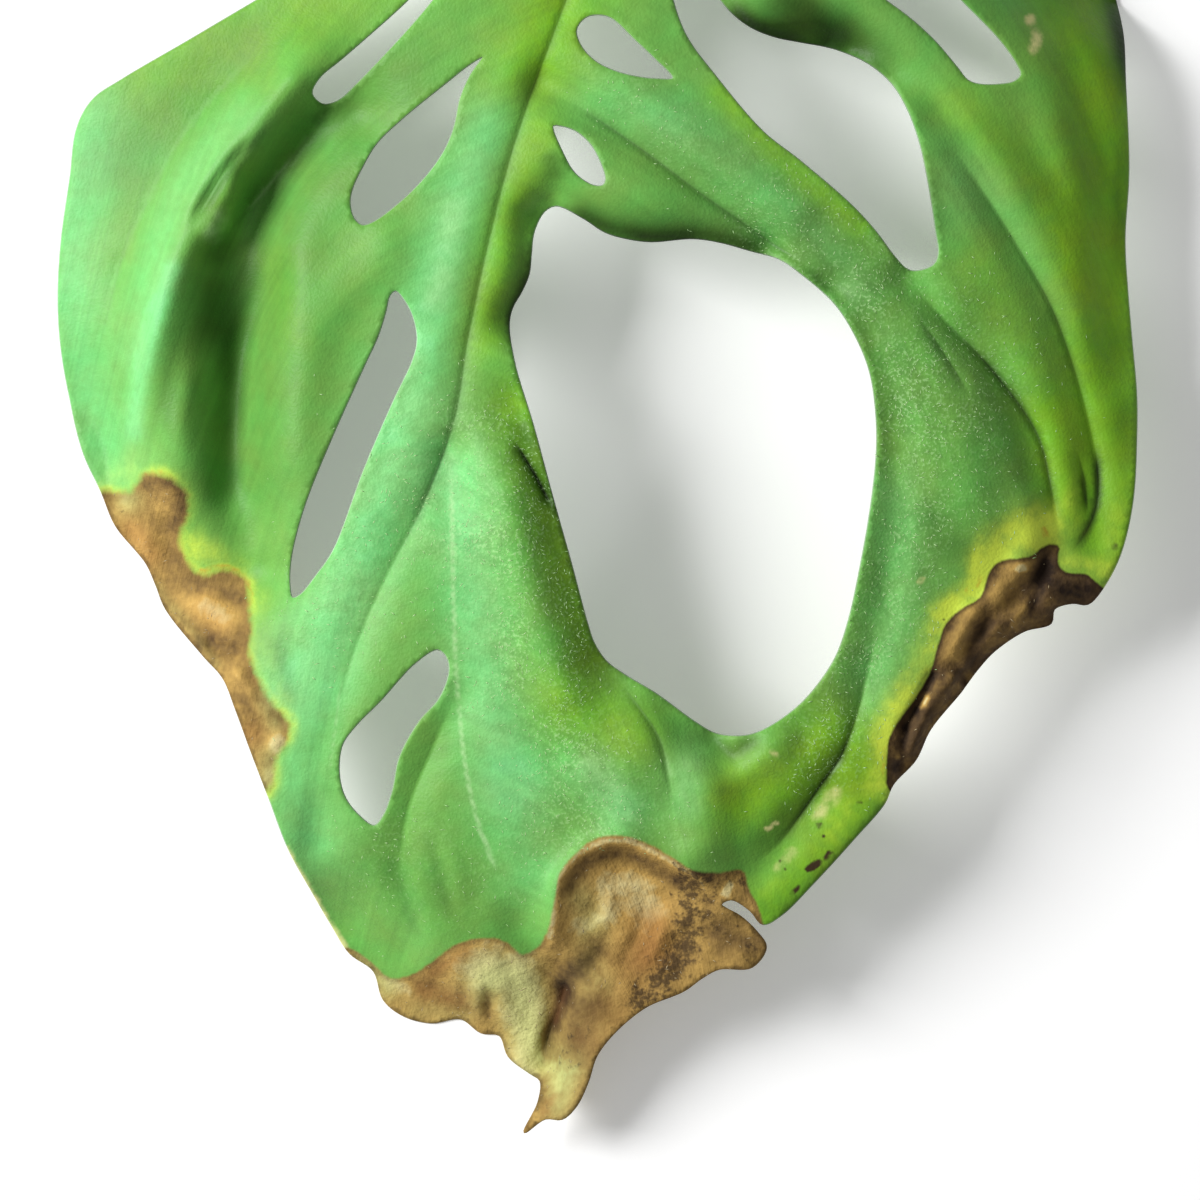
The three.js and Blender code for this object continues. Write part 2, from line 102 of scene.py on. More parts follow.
# The holes that a monstera blade grows with, each between two side veins
HOLES: Mapping[str, Line] = {
    "upper left slit": (
        (-13.2, 64.4), (-16.7, 59.8), (-20.0, 56.0), (-24.3, 51.6), (-26.3, 49.9), (-27.8, 49.6),
        (-28.8, 50.6), (-28.1, 52.1), (-25.8, 54.1), (-20.0, 59.2), (-15.6, 63.4),
    ),
    "upper left": (
        (-11.7, 54.2), (-12.9, 52.4), (-13.9, 50.1), (-14.5, 47.3), (-15.4, 45.0), (-17.2, 42.4),
        (-20.0, 39.6), (-22.8, 37.6), (-23.8, 37.4), (-24.6, 38.1), (-25.0, 39.6), (-24.8, 41.0),
        (-23.8, 43.2), (-22.3, 45.7), (-20.0, 47.9), (-15.4, 51.6), (-13.1, 53.4),
    ),
    "middle left slit": (
        (-20.4, 30.9), (-19.3, 29.7), (-18.5, 27.9), (-18.2, 25.8), (-18.7, 23.8), (-20.5, 20.0),
        (-23.5, 13.1), (-26.6, 5.0), (-28.4, 2.4), (-30.0, 0.5), (-30.8, 0.2), (-31.1, 1.4), (-31.0, 4.0),
        (-29.7, 9.0), (-26.8, 16.2), (-23.5, 23.5), (-22.2, 26.3), (-21.4, 28.8), (-21.0, 30.4),
    ),
    "lower left": (
        (-16.2, -4.9), (-15.3, -5.6), (-15.0, -6.8), (-15.3, -8.3), (-16.2, -10.1), (-18.0, -12.1),
        (-20.0, -15.7), (-20.7, -19.0), (-21.6, -21.5), (-22.6, -22.6), (-24.2, -21.5), (-25.5, -19.8),
        (-26.1, -17.5), (-25.8, -14.5), (-24.3, -12.4), (-22.0, -10.1), (-18.5, -6.3),
    ),
    "small upper": (
        (-2.4, 56.7), (-2.1, 57.5), (-1.3, 58.2), (-0.2, 58.4), (1.1, 58.1), (3.7, 55.7), (5.5, 54.0),
        (7.3, 52.0), (5.5, 51.9), (3.7, 52.1), (1.7, 52.6), (-0.4, 53.6), (-1.9, 55.2),
    ),
    "small lower": (
        (-4.7, 47.3), (-3.9, 47.3), (-2.4, 46.8), (-1.0, 45.6), (0.0, 43.9), (0.6, 41.9), (0.3, 41.3),
        (-0.7, 41.3), (-2.5, 42.5), (-3.7, 44.5),
    ),
    "great": (
        (-4.4, 39.4), (-1.6, 38.1), (0.4, 36.8), (2.2, 36.2), (5.0, 35.8), (9.3, 36.1), (12.1, 35.7),
        (15.0, 34.9), (17.8, 34.1), (20.0, 32.6), (23.3, 29.7), (25.5, 26.3), (26.9, 22.8), (27.5, 19.0),
        (27.6, 15.0), (27.0, 9.3), (25.8, 2.5), (24.8, -2.0), (23.6, -5.5), (22.0, -8.1), (20.0, -10.4),
        (17.5, -12.3), (15.2, -13.4), (13.2, -13.6), (11.4, -13.3), (9.5, -12.2), (5.5, -9.3), (2.5, -7.5),
        (0.6, -6.1), (-0.6, -4.3), (-1.2, -2.6), (-2.9, 3.7), (-4.7, 10.1), (-6.7, 17.5), (-8.5, 23.5),
        (-9.1, 27.4), (-8.8, 29.1), (-7.8, 30.9), (-7.1, 32.6), (-6.9, 34.5), (-6.6, 36.8), (-5.6, 38.8),
    ),
    "upper right": (
        (6.4, 64.5), (7.2, 60.0), (8.6, 56.2), (11.6, 52.1), (16.2, 46.7), (20.0, 43.7), (25.1, 39.3),
        (27.5, 36.7), (29.3, 34.3), (30.6, 33.0), (31.6, 32.8), (33.3, 33.4), (33.8, 34.5), (33.5, 37.0),
        (32.7, 42.0), (31.9, 45.7), (30.7, 49.0), (29.2, 51.6), (26.9, 53.6), (24.0, 55.0), (20.0, 55.8),
        (17.5, 56.3), (15.2, 57.2), (13.3, 58.6), (11.8, 60.3), (9.5, 63.2), (7.8, 65.0),
    ),
    "outer right": (
        (18.3, 70.0), (20.0, 66.8), (24.0, 63.2), (28.3, 60.0), (31.0, 58.0), (33.5, 55.7), (35.7, 53.1),
        (36.7, 51.9), (37.8, 51.5), (40.0, 51.5), (41.4, 51.8), (42.1, 52.5), (41.7, 53.6), (40.0, 56.0),
        (36.1, 60.0), (32.0, 64.2), (27.0, 68.8), (22.5, 71.5), (19.8, 71.6),
    ),
}

MIDRIB: Line = (
    (2.2, 75.5), (-3.4, 60.0), (-9.0, 44.2), (-13.1, 26.8), (-14.9, 10.0), (-14.2, -9.3), (-12.8, -20.0),
    (-9.5, -29.0), (-6.2, -36.0), (-5.9, -48.0),
)

# The side veins, each from the midrib outwards
SIDE_VEINS: Mapping[str, Line] = {
    "left shoulder": ((-1.0, 66.5), (-14.0, 65.6), (-30.0, 57.5), (-42.0, 48.5), (-49.0, 39.0), (-51.5, 27.0)),
    "left upper": ((-6.5, 51.5), (-11.0, 56.0), (-19.0, 53.0), (-25.5, 48.2), (-30.8, 43.5), (-34.4, 37.0)),
    "left middle": ((-10.5, 38.5), (-16.5, 37.6), (-22.5, 33.5), (-27.5, 27.0), (-30.4, 17.0), (-32.4, 6.0)),
    "left lower": ((-14.6, 16.0), (-18.0, 9.0), (-21.5, 2.0), (-24.5, -5.0), (-26.5, -12.0), (-28.0, -22.0)),
    "left last": ((-14.0, -9.2), (-16.8, -15.0), (-19.2, -21.0), (-20.2, -28.0), (-19.5, -35.0)),
    "right base": (
        (1.0, 72.0), (12.0, 74.6), (26.0, 73.6), (38.0, 65.0), (46.0, 56.0), (49.5, 46.0), (50.5, 34.0),
    ),
    "right upper": (
        (-1.4, 66.0), (8.0, 67.5), (23.0, 59.5), (31.0, 51.8), (35.7, 45.3), (39.2, 39.5), (45.0, 29.3),
        (48.2, 20.3), (49.8, 12.6), (49.4, 8.8),
    ),
    "right middle": (
        (-6.4, 51.5), (4.0, 45.2), (15.7, 37.5), (23.0, 31.5), (26.8, 26.5), (29.2, 18.0), (29.0, 4.0),
    ),
    "right branch": ((33.4, 29.3), (39.2, 22.9), (43.7, 16.5), (45.0, 11.4), (45.9, 6.2)),
    "right lower": ((26.5, 2.0), (27.0, -4.0), (25.5, -11.0), (24.0, -17.0), (20.5, -22.5), (16.0, -27.0)),
    "right inner": ((1.2, -7.3), (3.8, -10.6), (5.8, -13.7), (7.0, -19.0), (7.6, -23.5)),
}

# The stalk's axis from its cut end to the knee under the blade: x, y and height
STALK: Sequence[tuple[float, float, float]] = (
    (6.0, 108.0, 2.0), (5.3, 102.5, 2.8), (3.8, 92.0, 6.6), (2.9, 83.0, 9.4),
)


class Fade(Enum):
    """How a stroke fades out to its sides: round like a fold, or sharp like a crease."""

    ROUND = 2
    SHARP = 1


# Reaches from its line at which nothing of a stroke is left
FADED: Mapping[Fade, float] = {Fade.ROUND: 3.0, Fade.SHARP: 6.0}


@dataclass(frozen=True)
class Stroke:
    """A mark along a line: full strength on the line, fading out to both sides.

    Attributes:
        amount: Strength on the line, in millimetres for a fold and as a share for a colour.
        reach: Distance in millimetres at which about a third of the strength is left.
        line: Points that the mark runs through, or a single point for a round mark.
        fade: Whether the mark is round or sharp across its line.
        taper: Length in millimetres over which the mark fades out at each end of its line.
    """

    amount: float
    reach: float
    line: Line
    fade: Fade = Fade.ROUND
    taper: float = 0.0


# Crest of the tip's cup
TIP_CREST: Line = (
    (-5.3, -35.2), (-4.9, -33.0), (-4.2, -28.0), (-3.3, -26.6), (-2.0, -25.2), (-0.6, -24.4), (2.2, -23.9),
    (4.4, -24.6), (6.8, -25.9), (9.0, -27.3), (10.6, -28.7), (11.2, -30.2),
)

# Folds that the whole blade takes: ridges rise and furrows sink
FOLDS: Sequence[Stroke] = (
    Stroke(-0.9, 2.2, MIDRIB),
    # left lobe: ridge, deep furrow and the low ridge inside it
    Stroke(2.8, 4.6, ((-29, 52), (-33.8, 47.2), (-40, 39.5), (-43.4, 30), (-44.2, 21), (-43.6, 13.5))),
    Stroke(-3.7, 4.0, (
        (-25.5, 48.8), (-30.8, 43.5), (-35, 36.5), (-36.2, 29), (-36, 20), (-35.2, 12), (-33.8, 4),
    )),
    Stroke(0.9, 3.0, ((-21.5, 35), (-26.5, 30), (-29.5, 22), (-30.8, 14), (-32, 6))),
    Stroke(-0.9, 2.0, ((-15.2, 14.2), (-20, 6), (-24.3, -3), (-26.5, -10.5), (-27.8, -18), (-28.2, -24))),
    Stroke(-0.7, 2.0, ((-14.2, -10), (-16.8, -15), (-19.2, -21), (-20.2, -28), (-19.5, -35))),
    # right side: furrows over the side veins and the pads between them
    Stroke(-1.1, 2.0, ((-5.5, 51.5), (4, 45.2), (15.7, 37.5), (23, 31.5))),
    Stroke(-0.7, 2.0, (
        (23, 31.5), (26.8, 26.5), (29.2, 18), (29, 4), (27.2, -5), (24.5, -14.5), (19, -23.5), (14, -28.5),
    )),
    Stroke(-1.0, 2.0, (
        (-1, 66), (8, 67.5), (23, 59.5), (33.5, 49.5), (40.4, 37.6), (45.5, 27.4), (49.4, 13), (49.2, 6),
    )),
    Stroke(-1.1, 2.0, ((30.8, 32.2), (34.5, 27.5), (38.9, 24), (42.2, 17.5), (45.3, 5.5))),
    Stroke(-0.8, 2.2, ((4, 72), (20, 74), (38, 64), (46, 56), (49.5, 46), (50.5, 34), (50.8, 22))),
    Stroke(0.9, 4.5, ((-10, 13), (-7.5, 4), (-4, -6), (0, -16))),
    Stroke(0.8, 2.6, ((4, -10), (7.2, -18), (9, -25))),
    Stroke(-1.0, 2.4, ((10.5, -14.5), (13.8, -20), (14.8, -26))),
    Stroke(0.8, 2.4, ((16.5, -15.2), (21, -16.8), (24.5, -13.5))),
    Stroke(0.9, 3.5, ((33, 27), (36, 17), (37.5, 8))),
    Stroke(0.6, 2.6, ((1, 54), (9, 46), (19, 38.5))),
    # edges of the holes that roll under
    Stroke(-2.4, 2.4, ((-4.4, 39.5), (0, 37), (5, 36), (10, 36), (16, 34.8))),
    Stroke(-2.2, 2.0, ((-6.5, 38), (-7, 32.5), (-8.9, 28.2))),
    Stroke(-1.2, 3.0, ((-8, 20), (-4.5, 10), (-1.5, 0), (1.2, -6.5), (10, -13))),
    Stroke(-2.6, 2.4, ((12.2, 60.5), (14.5, 57.5), (19, 56), (24, 55))),
    Stroke(-2.4, 3.8, ((53.8, 61), (54.4, 50), (54.2, 40), (54.4, 27))),
    # dry tip: cup, its crest and the crease down the point
    Stroke(-1.8, 4.5, ((4, -28), (6, -33), (3, -37))),
    Stroke(1.0, 2.0, ((-4.8, -33), (-2.8, -27), (2, -23.8), (8, -26.2), (13, -29))),
    Stroke(-1.6, 2.0, ((-4.4, -37.5), (-5.5, -47))),
    # places that lie on the surface
    Stroke(-5.2, 9.5, ((-51.8, 14), (-49, 7.5), (-44, 1))),
    Stroke(-7.2, 7.0, ((-27, -34.5), (-21.5, -40.8), (-16, -43), (-11, -44.2))),
    Stroke(-9.5, 8.5, ((51, 66), (44, 73))),
)

# Narrow creases over the veins and between the pleats
CREASES: Sequence[Stroke] = (
    # the midrib's groove, which runs on into the left lower vein
    Stroke(-0.4, 0.7, (
        (2.2, 75.5), (-3.4, 60), (-9, 44.2), (-13.1, 26.8), (-14.6, 18), (-17.5, 10), (-21.5, 2), (-24.5, -5),
        (-26.5, -12),
    ), Fade.SHARP, 9),
    Stroke(-0.3, 0.6, ((-14.6, -10), (-16.8, -15), (-19.2, -21), (-20.2, -28)), Fade.SHARP, 5),
    Stroke(-0.5, 0.7, ((-4, 50.4), (3.3, 45.5), (10.6, 40.1), (15.4, 36.8), (22, 32.3)), Fade.SHARP, 6),
    Stroke(-0.5, 0.6, (
        (34.8, 46), (37, 42.6), (39.8, 38.4), (42.3, 34.3), (45.3, 28.8), (48.2, 20.3), (49.8, 12.6),
        (49.6, 9.3), (48.7, 7), (46.9, 4.5),
    ), Fade.SHARP, 12),
    Stroke(-0.6, 0.7, (
        (31.6, 31), (34.9, 27.4), (39.2, 22.9), (43.7, 16.5), (45, 11.4), (45.9, 6.2),
    ), Fade.SHARP, 4),
    Stroke(-0.4, 0.6, ((31.5, 28.6), (34.2, 24.6), (37.3, 19.7)), Fade.SHARP, 3),
    Stroke(-0.6, 0.5, ((47.5, 15.2), (48.4, 12), (48.6, 10), (48.9, 8.2)), Fade.SHARP, 2),
    # edge of the flat strip along the lower right
    Stroke(-0.55, 0.6, (
        (27.7, -2.5), (26.1, -9.7), (25.1, -12.9), (23.9, -15.8), (22.2, -18.2), (20, -21.4), (17.6, -24.5),
        (14.9, -26.7),
    ), Fade.SHARP, 10),
    Stroke(-0.35, 0.6, ((1.2, -7.3), (3.8, -10.6), (5.8, -13.7), (7, -19), (7.3, -23)), Fade.SHARP, 6),
    # slit beside the great hole
    Stroke(-0.9, 0.45, ((-8.7, 16), (-6.5, 12.5), (-4.6, 8.8)), Fade.SHARP, 2),
    # crevice down the point of the tip
    Stroke(-1.4, 0.7, ((-3.3, -38), (-4.1, -41.2), (-5.2, -43.9), (-5.7, -47.6)), Fade.SHARP, 1.5),
)

# Wide V-shaped valleys
VALLEYS: Sequence[Stroke] = (
    # upper foot of the left lobe's furrow
    Stroke(-1.3, 1.8, ((-26, 50.3), (-30.8, 44.4), (-33.4, 41.4), (-36.4, 37.8), (-38.4, 34.8)), Fade.SHARP, 5),
    # between the lengthwise bands of the left lobe
    Stroke(-0.65, 1.6, (
        (-33, 56), (-39.1, 50), (-42.5, 45.5), (-45, 40.7), (-47.2, 36), (-48.7, 32.1), (-49.6, 26),
    ), Fade.SHARP, 8),
    Stroke(-0.35, 1.0, ((-44.3, 34), (-46.2, 28), (-47.2, 23), (-48, 17)), Fade.SHARP, 6),
)

# Finer folds, too small to change the leaf's form
FINE_FOLDS: Sequence[Stroke] = (
    # crest over the left lobe's furrow, and the level ground on the furrow's other side
    Stroke(0.9, 1.8, (
        (-30.8, 51.7), (-34.1, 47), (-36.8, 43.7), (-39.7, 40.1), (-41, 36.1), (-42.7, 32.8), (-44.4, 27.5),
        (-45.7, 22.8), (-46.4, 18),
    )),
    Stroke(1.0, 3.0, ((-26.5, 45), (-30, 39), (-31, 30), (-32.2, 22), (-32.8, 14))),
    # lower foot of the furrow, and the sliver and the low ridge that stand up in it
    Stroke(-1.4, 1.7, (
        (-31.4, 36), (-33.2, 31), (-34.8, 27.4), (-36, 24), (-36.9, 18.4), (-37.3, 11.2), (-37.4, 7),
    ), Fade.ROUND, 6),
    Stroke(1.2, 1.1, ((-35.4, 43.6), (-37.2, 40.6), (-38.8, 37.6), (-40, 35)), Fade.ROUND, 3),
    Stroke(1.3, 1.1, ((-35, 42.6), (-36.4, 39.8), (-37.8, 37), (-39, 34.4)), Fade.ROUND, 3),
    Stroke(-0.8, 0.5, ((-34.4, 46.6), (-37.4, 43), (-39.9, 39.2), (-41.2, 36.8)), Fade.ROUND, 3),
    Stroke(0.6, 1.4, ((-40.2, 26), (-41.2, 21.2), (-42, 17.9), (-41.6, 12)), Fade.ROUND, 6),
    # the midrib's trough is shallow, and so is the left lower vein's
    Stroke(0.65, 2.2, ((0, 69), (-3.4, 60), (-9, 44.2), (-13.1, 26.8), (-14.4, 18))),
    Stroke(0.55, 2.0, ((-15.2, 14.2), (-20, 6), (-24.3, -3), (-26.5, -10.5), (-27.8, -18))),
    Stroke(0.25, 2.2, ((-8, 54), (-12, 42), (-15.4, 31), (-17.4, 20), (-20.6, 11), (-24.2, 3))),
    # the midrib lies level below the middle of the blade
    Stroke(0.8, 2.2, ((-14.9, 6), (-14.2, -9.3), (-12.8, -20), (-9.5, -29))),
    # lip of the slit beside the great hole
    Stroke(0.5, 0.8, ((-7, 17.6), (-5, 12.6), (-3.6, 8.6))),
    # pad right of the midrib, and the pads above the tip
    Stroke(0.8, 2.5, ((-9, 10), (-7.6, 3), (-6, -3), (-3.8, -9))),
    Stroke(0.6, 2.5, ((4, -14), (3.5, -19), (2.5, -22))),
    Stroke(1.1, 2.4, ((9.8, -15.5), (10.6, -20), (11, -24))),
    Stroke(1.0, 2.4, ((12.8, -18.5), (13.8, -21), (14.8, -26))),
    # pleats below the lower left hole
    Stroke(0.22, 0.9, ((-23.2, -25), (-21, -31), (-19.6, -35)), Fade.ROUND, 4),
    Stroke(0.22, 0.9, ((-19.4, -24), (-17.6, -30), (-16.4, -34.2)), Fade.ROUND, 4),
    Stroke(0.22, 0.9, ((-15.6, -22), (-14.2, -28), (-13, -33)), Fade.ROUND, 4),
    # hollow and knob under the great hole
    Stroke(-0.5, 1.1, ((11.3, -13.9), (13.2, -15.5), (15.2, -14.2))),
    Stroke(0.4, 1.5, ((9.5, -17.2), (12, -18.2), (14.9, -17.3), (17, -15.6), (18.4, -13.6))),
    # yellowed pad above the dry right edge
    Stroke(0.8, 2.0, ((43.2, 9.5), (43.8, 7.2), (43.6, 6.2))),
    # slow end of the roll along the upper right hole
    Stroke(-1.6, 2.0, ((21, 55.8), (25.6, 54.4), (28.8, 51.8), (31, 48)), Fade.ROUND, 5),
    # bands of the right lobe, and the slow end of its rolled margin
    Stroke(0.35, 2.0, ((31, 50), (37, 45), (41, 39), (44, 33), (47, 27)), Fade.ROUND, 6),
    Stroke(0.4, 2.0, ((44.5, 53), (45.2, 48), (47, 43), (49.2, 39)), Fade.ROUND, 6),
    Stroke(-1.3, 3.4, ((54.4, 29), (54.7, 20), (54.4, 11)), Fade.ROUND, 7),
    # the tip's shallow cup: its crest, the hollow at its foot and the wrinkles that run down it
    Stroke(0.6, 0.7, TIP_CREST, Fade.ROUND, 3),
    Stroke(0.8, 4.0, ((4, -28), (6, -33), (3, -37))),
    Stroke(-0.6, 1.6, ((0.4, -33.6), (-1.2, -36.4), (-3, -38.6))),
    Stroke(0.3, 0.6, ((1.6, -27.4), (0.6, -31.5), (-0.6, -34.4)), Fade.ROUND, 3),
    Stroke(-0.3, 0.6, ((4.6, -28.4), (3.8, -33), (1.4, -37.6)), Fade.ROUND, 4),
    Stroke(0.3, 0.6, ((7, -29.6), (6, -34), (3.4, -38.4)), Fade.ROUND, 4),
    Stroke(-0.25, 0.5, ((-1.4, -40.5), (-2.6, -44.5), (-4, -48)), Fade.ROUND, 3),
    # ribs of the flap left of the crevice
    Stroke(0.45, 0.7, ((-12.6, -37.5), (-12.1, -43)), Fade.ROUND, 3),
    Stroke(-0.6, 0.5, ((-11.3, -38), (-11.3, -43.5)), Fade.ROUND, 3),
    Stroke(0.4, 0.9, ((-9.9, -36.5), (-9.5, -44.5)), Fade.ROUND, 4),
    Stroke(0.5, 0.8, ((-5.0, -38), (-6, -42), (-6.9, -46.5)), Fade.ROUND, 3),
    # pads and clefts of the dry right edge
    Stroke(0.7, 1.2, ((38.6, -1.5), (40.3, 1.2), (41.8, 3.4))),
    Stroke(0.4, 0.5, ((43.4, 1.1), (42.3, -0.9), (41.4, -2.6))),
    Stroke(-0.6, 0.7, ((44.8, 5), (44.5, 3.2), (43.6, 1.2), (42.8, -1.6)), Fade.ROUND, 2),
    Stroke(0.4, 0.5, ((45.4, 4.2), (44.9, 1.8), (44.2, 0))),
    Stroke(0.6, 1.0, ((46, 1.4), (48.8, 1.0))),
    Stroke(-0.5, 0.7, ((38, 0), (38.6, -2), (37.4, -4.6), (36.2, -7.4)), Fade.ROUND, 2),
    Stroke(0.7, 1.0, ((35.1, -5.5), (36.4, -3.2), (36.9, -1.4))),
    Stroke(0.6, 0.8, ((33.9, -9), (36, -6))),
    Stroke(-0.8, 0.5, ((36.8, -9.2), (35.7, -6.9))),
    Stroke(-0.8, 0.5, ((33.2, -7.5), (31.6, -10.7), (30.4, -12.6))),
    Stroke(0.6, 0.6, ((32.4, -11.3), (31, -15.2))),
    Stroke(-0.6, 0.6, ((30.6, -13), (29.8, -16.5))),
    Stroke(-0.9, 0.8, ((46, -1.6), (41, -4), (37.5, -7.2), (33.5, -12.6), (30, -17.8))),
    # wrinkles along it
    Stroke(0.35, 0.45, ((44, 0.4), (41, -1.8), (38.4, -4), (36, -6.8), (33.6, -10.2)), Fade.ROUND, 3),
    Stroke(-0.35, 0.45, ((42.4, 1.6), (40, -0.8), (37.6, -3.2), (35.2, -6.6), (33, -10)), Fade.ROUND, 3),
    Stroke(0.3, 0.45, ((40.6, 3), (38.6, 0.2), (36.4, -2.4), (34.4, -5.8)), Fade.ROUND, 3),
    # pads and the curled rim of the dry left edge
    Stroke(0.6, 1.0, ((-47.6, 8.6), (-45.8, 6))),
    Stroke(-0.5, 0.8, ((-43.6, 8), (-43.2, 4.4))),
    Stroke(0.7, 1.2, ((-40.2, -0.6), (-37.4, -2.6))),
    Stroke(-0.7, 0.6, ((-39.2, -4.6), (-36.4, -5.2))),
    Stroke(0.5, 0.6, ((-36.4, -7.2), (-35, -9.2))),
    Stroke(0.5, 0.7, ((-32.4, -14.4),)),
    Stroke(0.3, 0.45, ((-44.6, 1.4), (-43.4, -0.5), (-41, -3), (-38.6, -6.4)), Fade.ROUND, 2),
)


@dataclass(frozen=True)
class DryZone:
    """A stretch of the edge where the tissue has died and dried brown.

    Attributes:
        border: Closed line round the zone. Its outer part lies beyond the margin.
        tone: Mean tone of the dry tissue, from 0 for dark brown to 1 for pale straw.
        halo: Width in millimetres of the yellowed tissue along the border.
        scorch: Strength of the dark line along the border, from 0 to 1.
        soft: How gradual the border is, where 1 turns from green to brown in a third of a millimetre.
    """

    border: Line
    tone: float
    halo: float
    scorch: float
    soft: float


DRY_ZONES: Mapping[str, DryZone] = {
    "left": DryZone(
        border=(
            (-50.3, 11.0), (-48.0, 10.8), (-47.0, 11.0), (-45.9, 12.5), (-44.1, 12.6), (-41.7, 11.2),
            (-41.4, 8.8), (-42.3, 6.2), (-41.7, 4.2), (-40.1, 2.5), (-37.8, 3.1), (-35.7, 2.2), (-35.2, 0.0),
            (-35.0, -3.0), (-35.1, -5.7), (-34.4, -7.4), (-33.4, -9.5), (-31.9, -11.3), (-31.0, -12.5),
            (-31.3, -13.8), (-32.4, -16.0), (-33.2, -19.0), (-36.5, -20.0), (-44.0, -10.0), (-54.0, 2.0),
            (-54.0, 10.0),
        ),
        tone=0.57, halo=1.0, scorch=0.3, soft=3.0,
    ),
    "right": DryZone(
        border=(
            (50.6, 1.0), (49.3, 2.0), (48.7, 2.6), (46.6, 2.8), (45.7, 3.7), (46.0, 5.3), (44.9, 5.6),
            (42.8, 4.3), (39.9, 3.9), (38.8, 2.8), (38.0, 0.3), (36.3, -0.7), (34.6, -2.2), (33.4, -5.5),
            (33.0, -7.0), (31.5, -9.7), (30.0, -11.8), (28.8, -13.9), (28.6, -16.7), (28.7, -18.8),
            (30.0, -20.0), (36.0, -14.0), (42.0, -6.0), (46.0, -4.0), (51.0, -2.0),
        ),
        tone=0.3, halo=1.2, scorch=0.7, soft=1.0,
    ),
    "tip": DryZone(
        border=(
            (-25.6, -35.0), (-22.5, -37.0), (-21.0, -38.2), (-18.5, -37.5), (-16.5, -36.0), (-14.2, -34.4),
            (-12.0, -33.9), (-10.1, -33.9), (-8.9, -34.6), (-7.8, -35.6), (-6.1, -34.6), (-5.1, -32.7),
            (-4.5, -29.7), (-4.0, -27.2), (-2.4, -25.3), (-0.7, -23.9), (2.2, -23.5), (4.8, -24.3),
            (7.1, -25.6), (9.4, -27.0), (11.9, -27.2), (14.4, -27.0), (14.6, -28.3), (15.7, -30.4),
            (16.1, -31.6), (16.6, -33.0), (19.0, -35.0), (10.0, -42.0), (0.0, -55.0), (-9.0, -57.0),
            (-14.0, -46.0), (-22.0, -44.0), (-26.0, -38.0),
        ),
        tone=0.63, halo=0.0, scorch=0.4, soft=1.2,
    ),
}

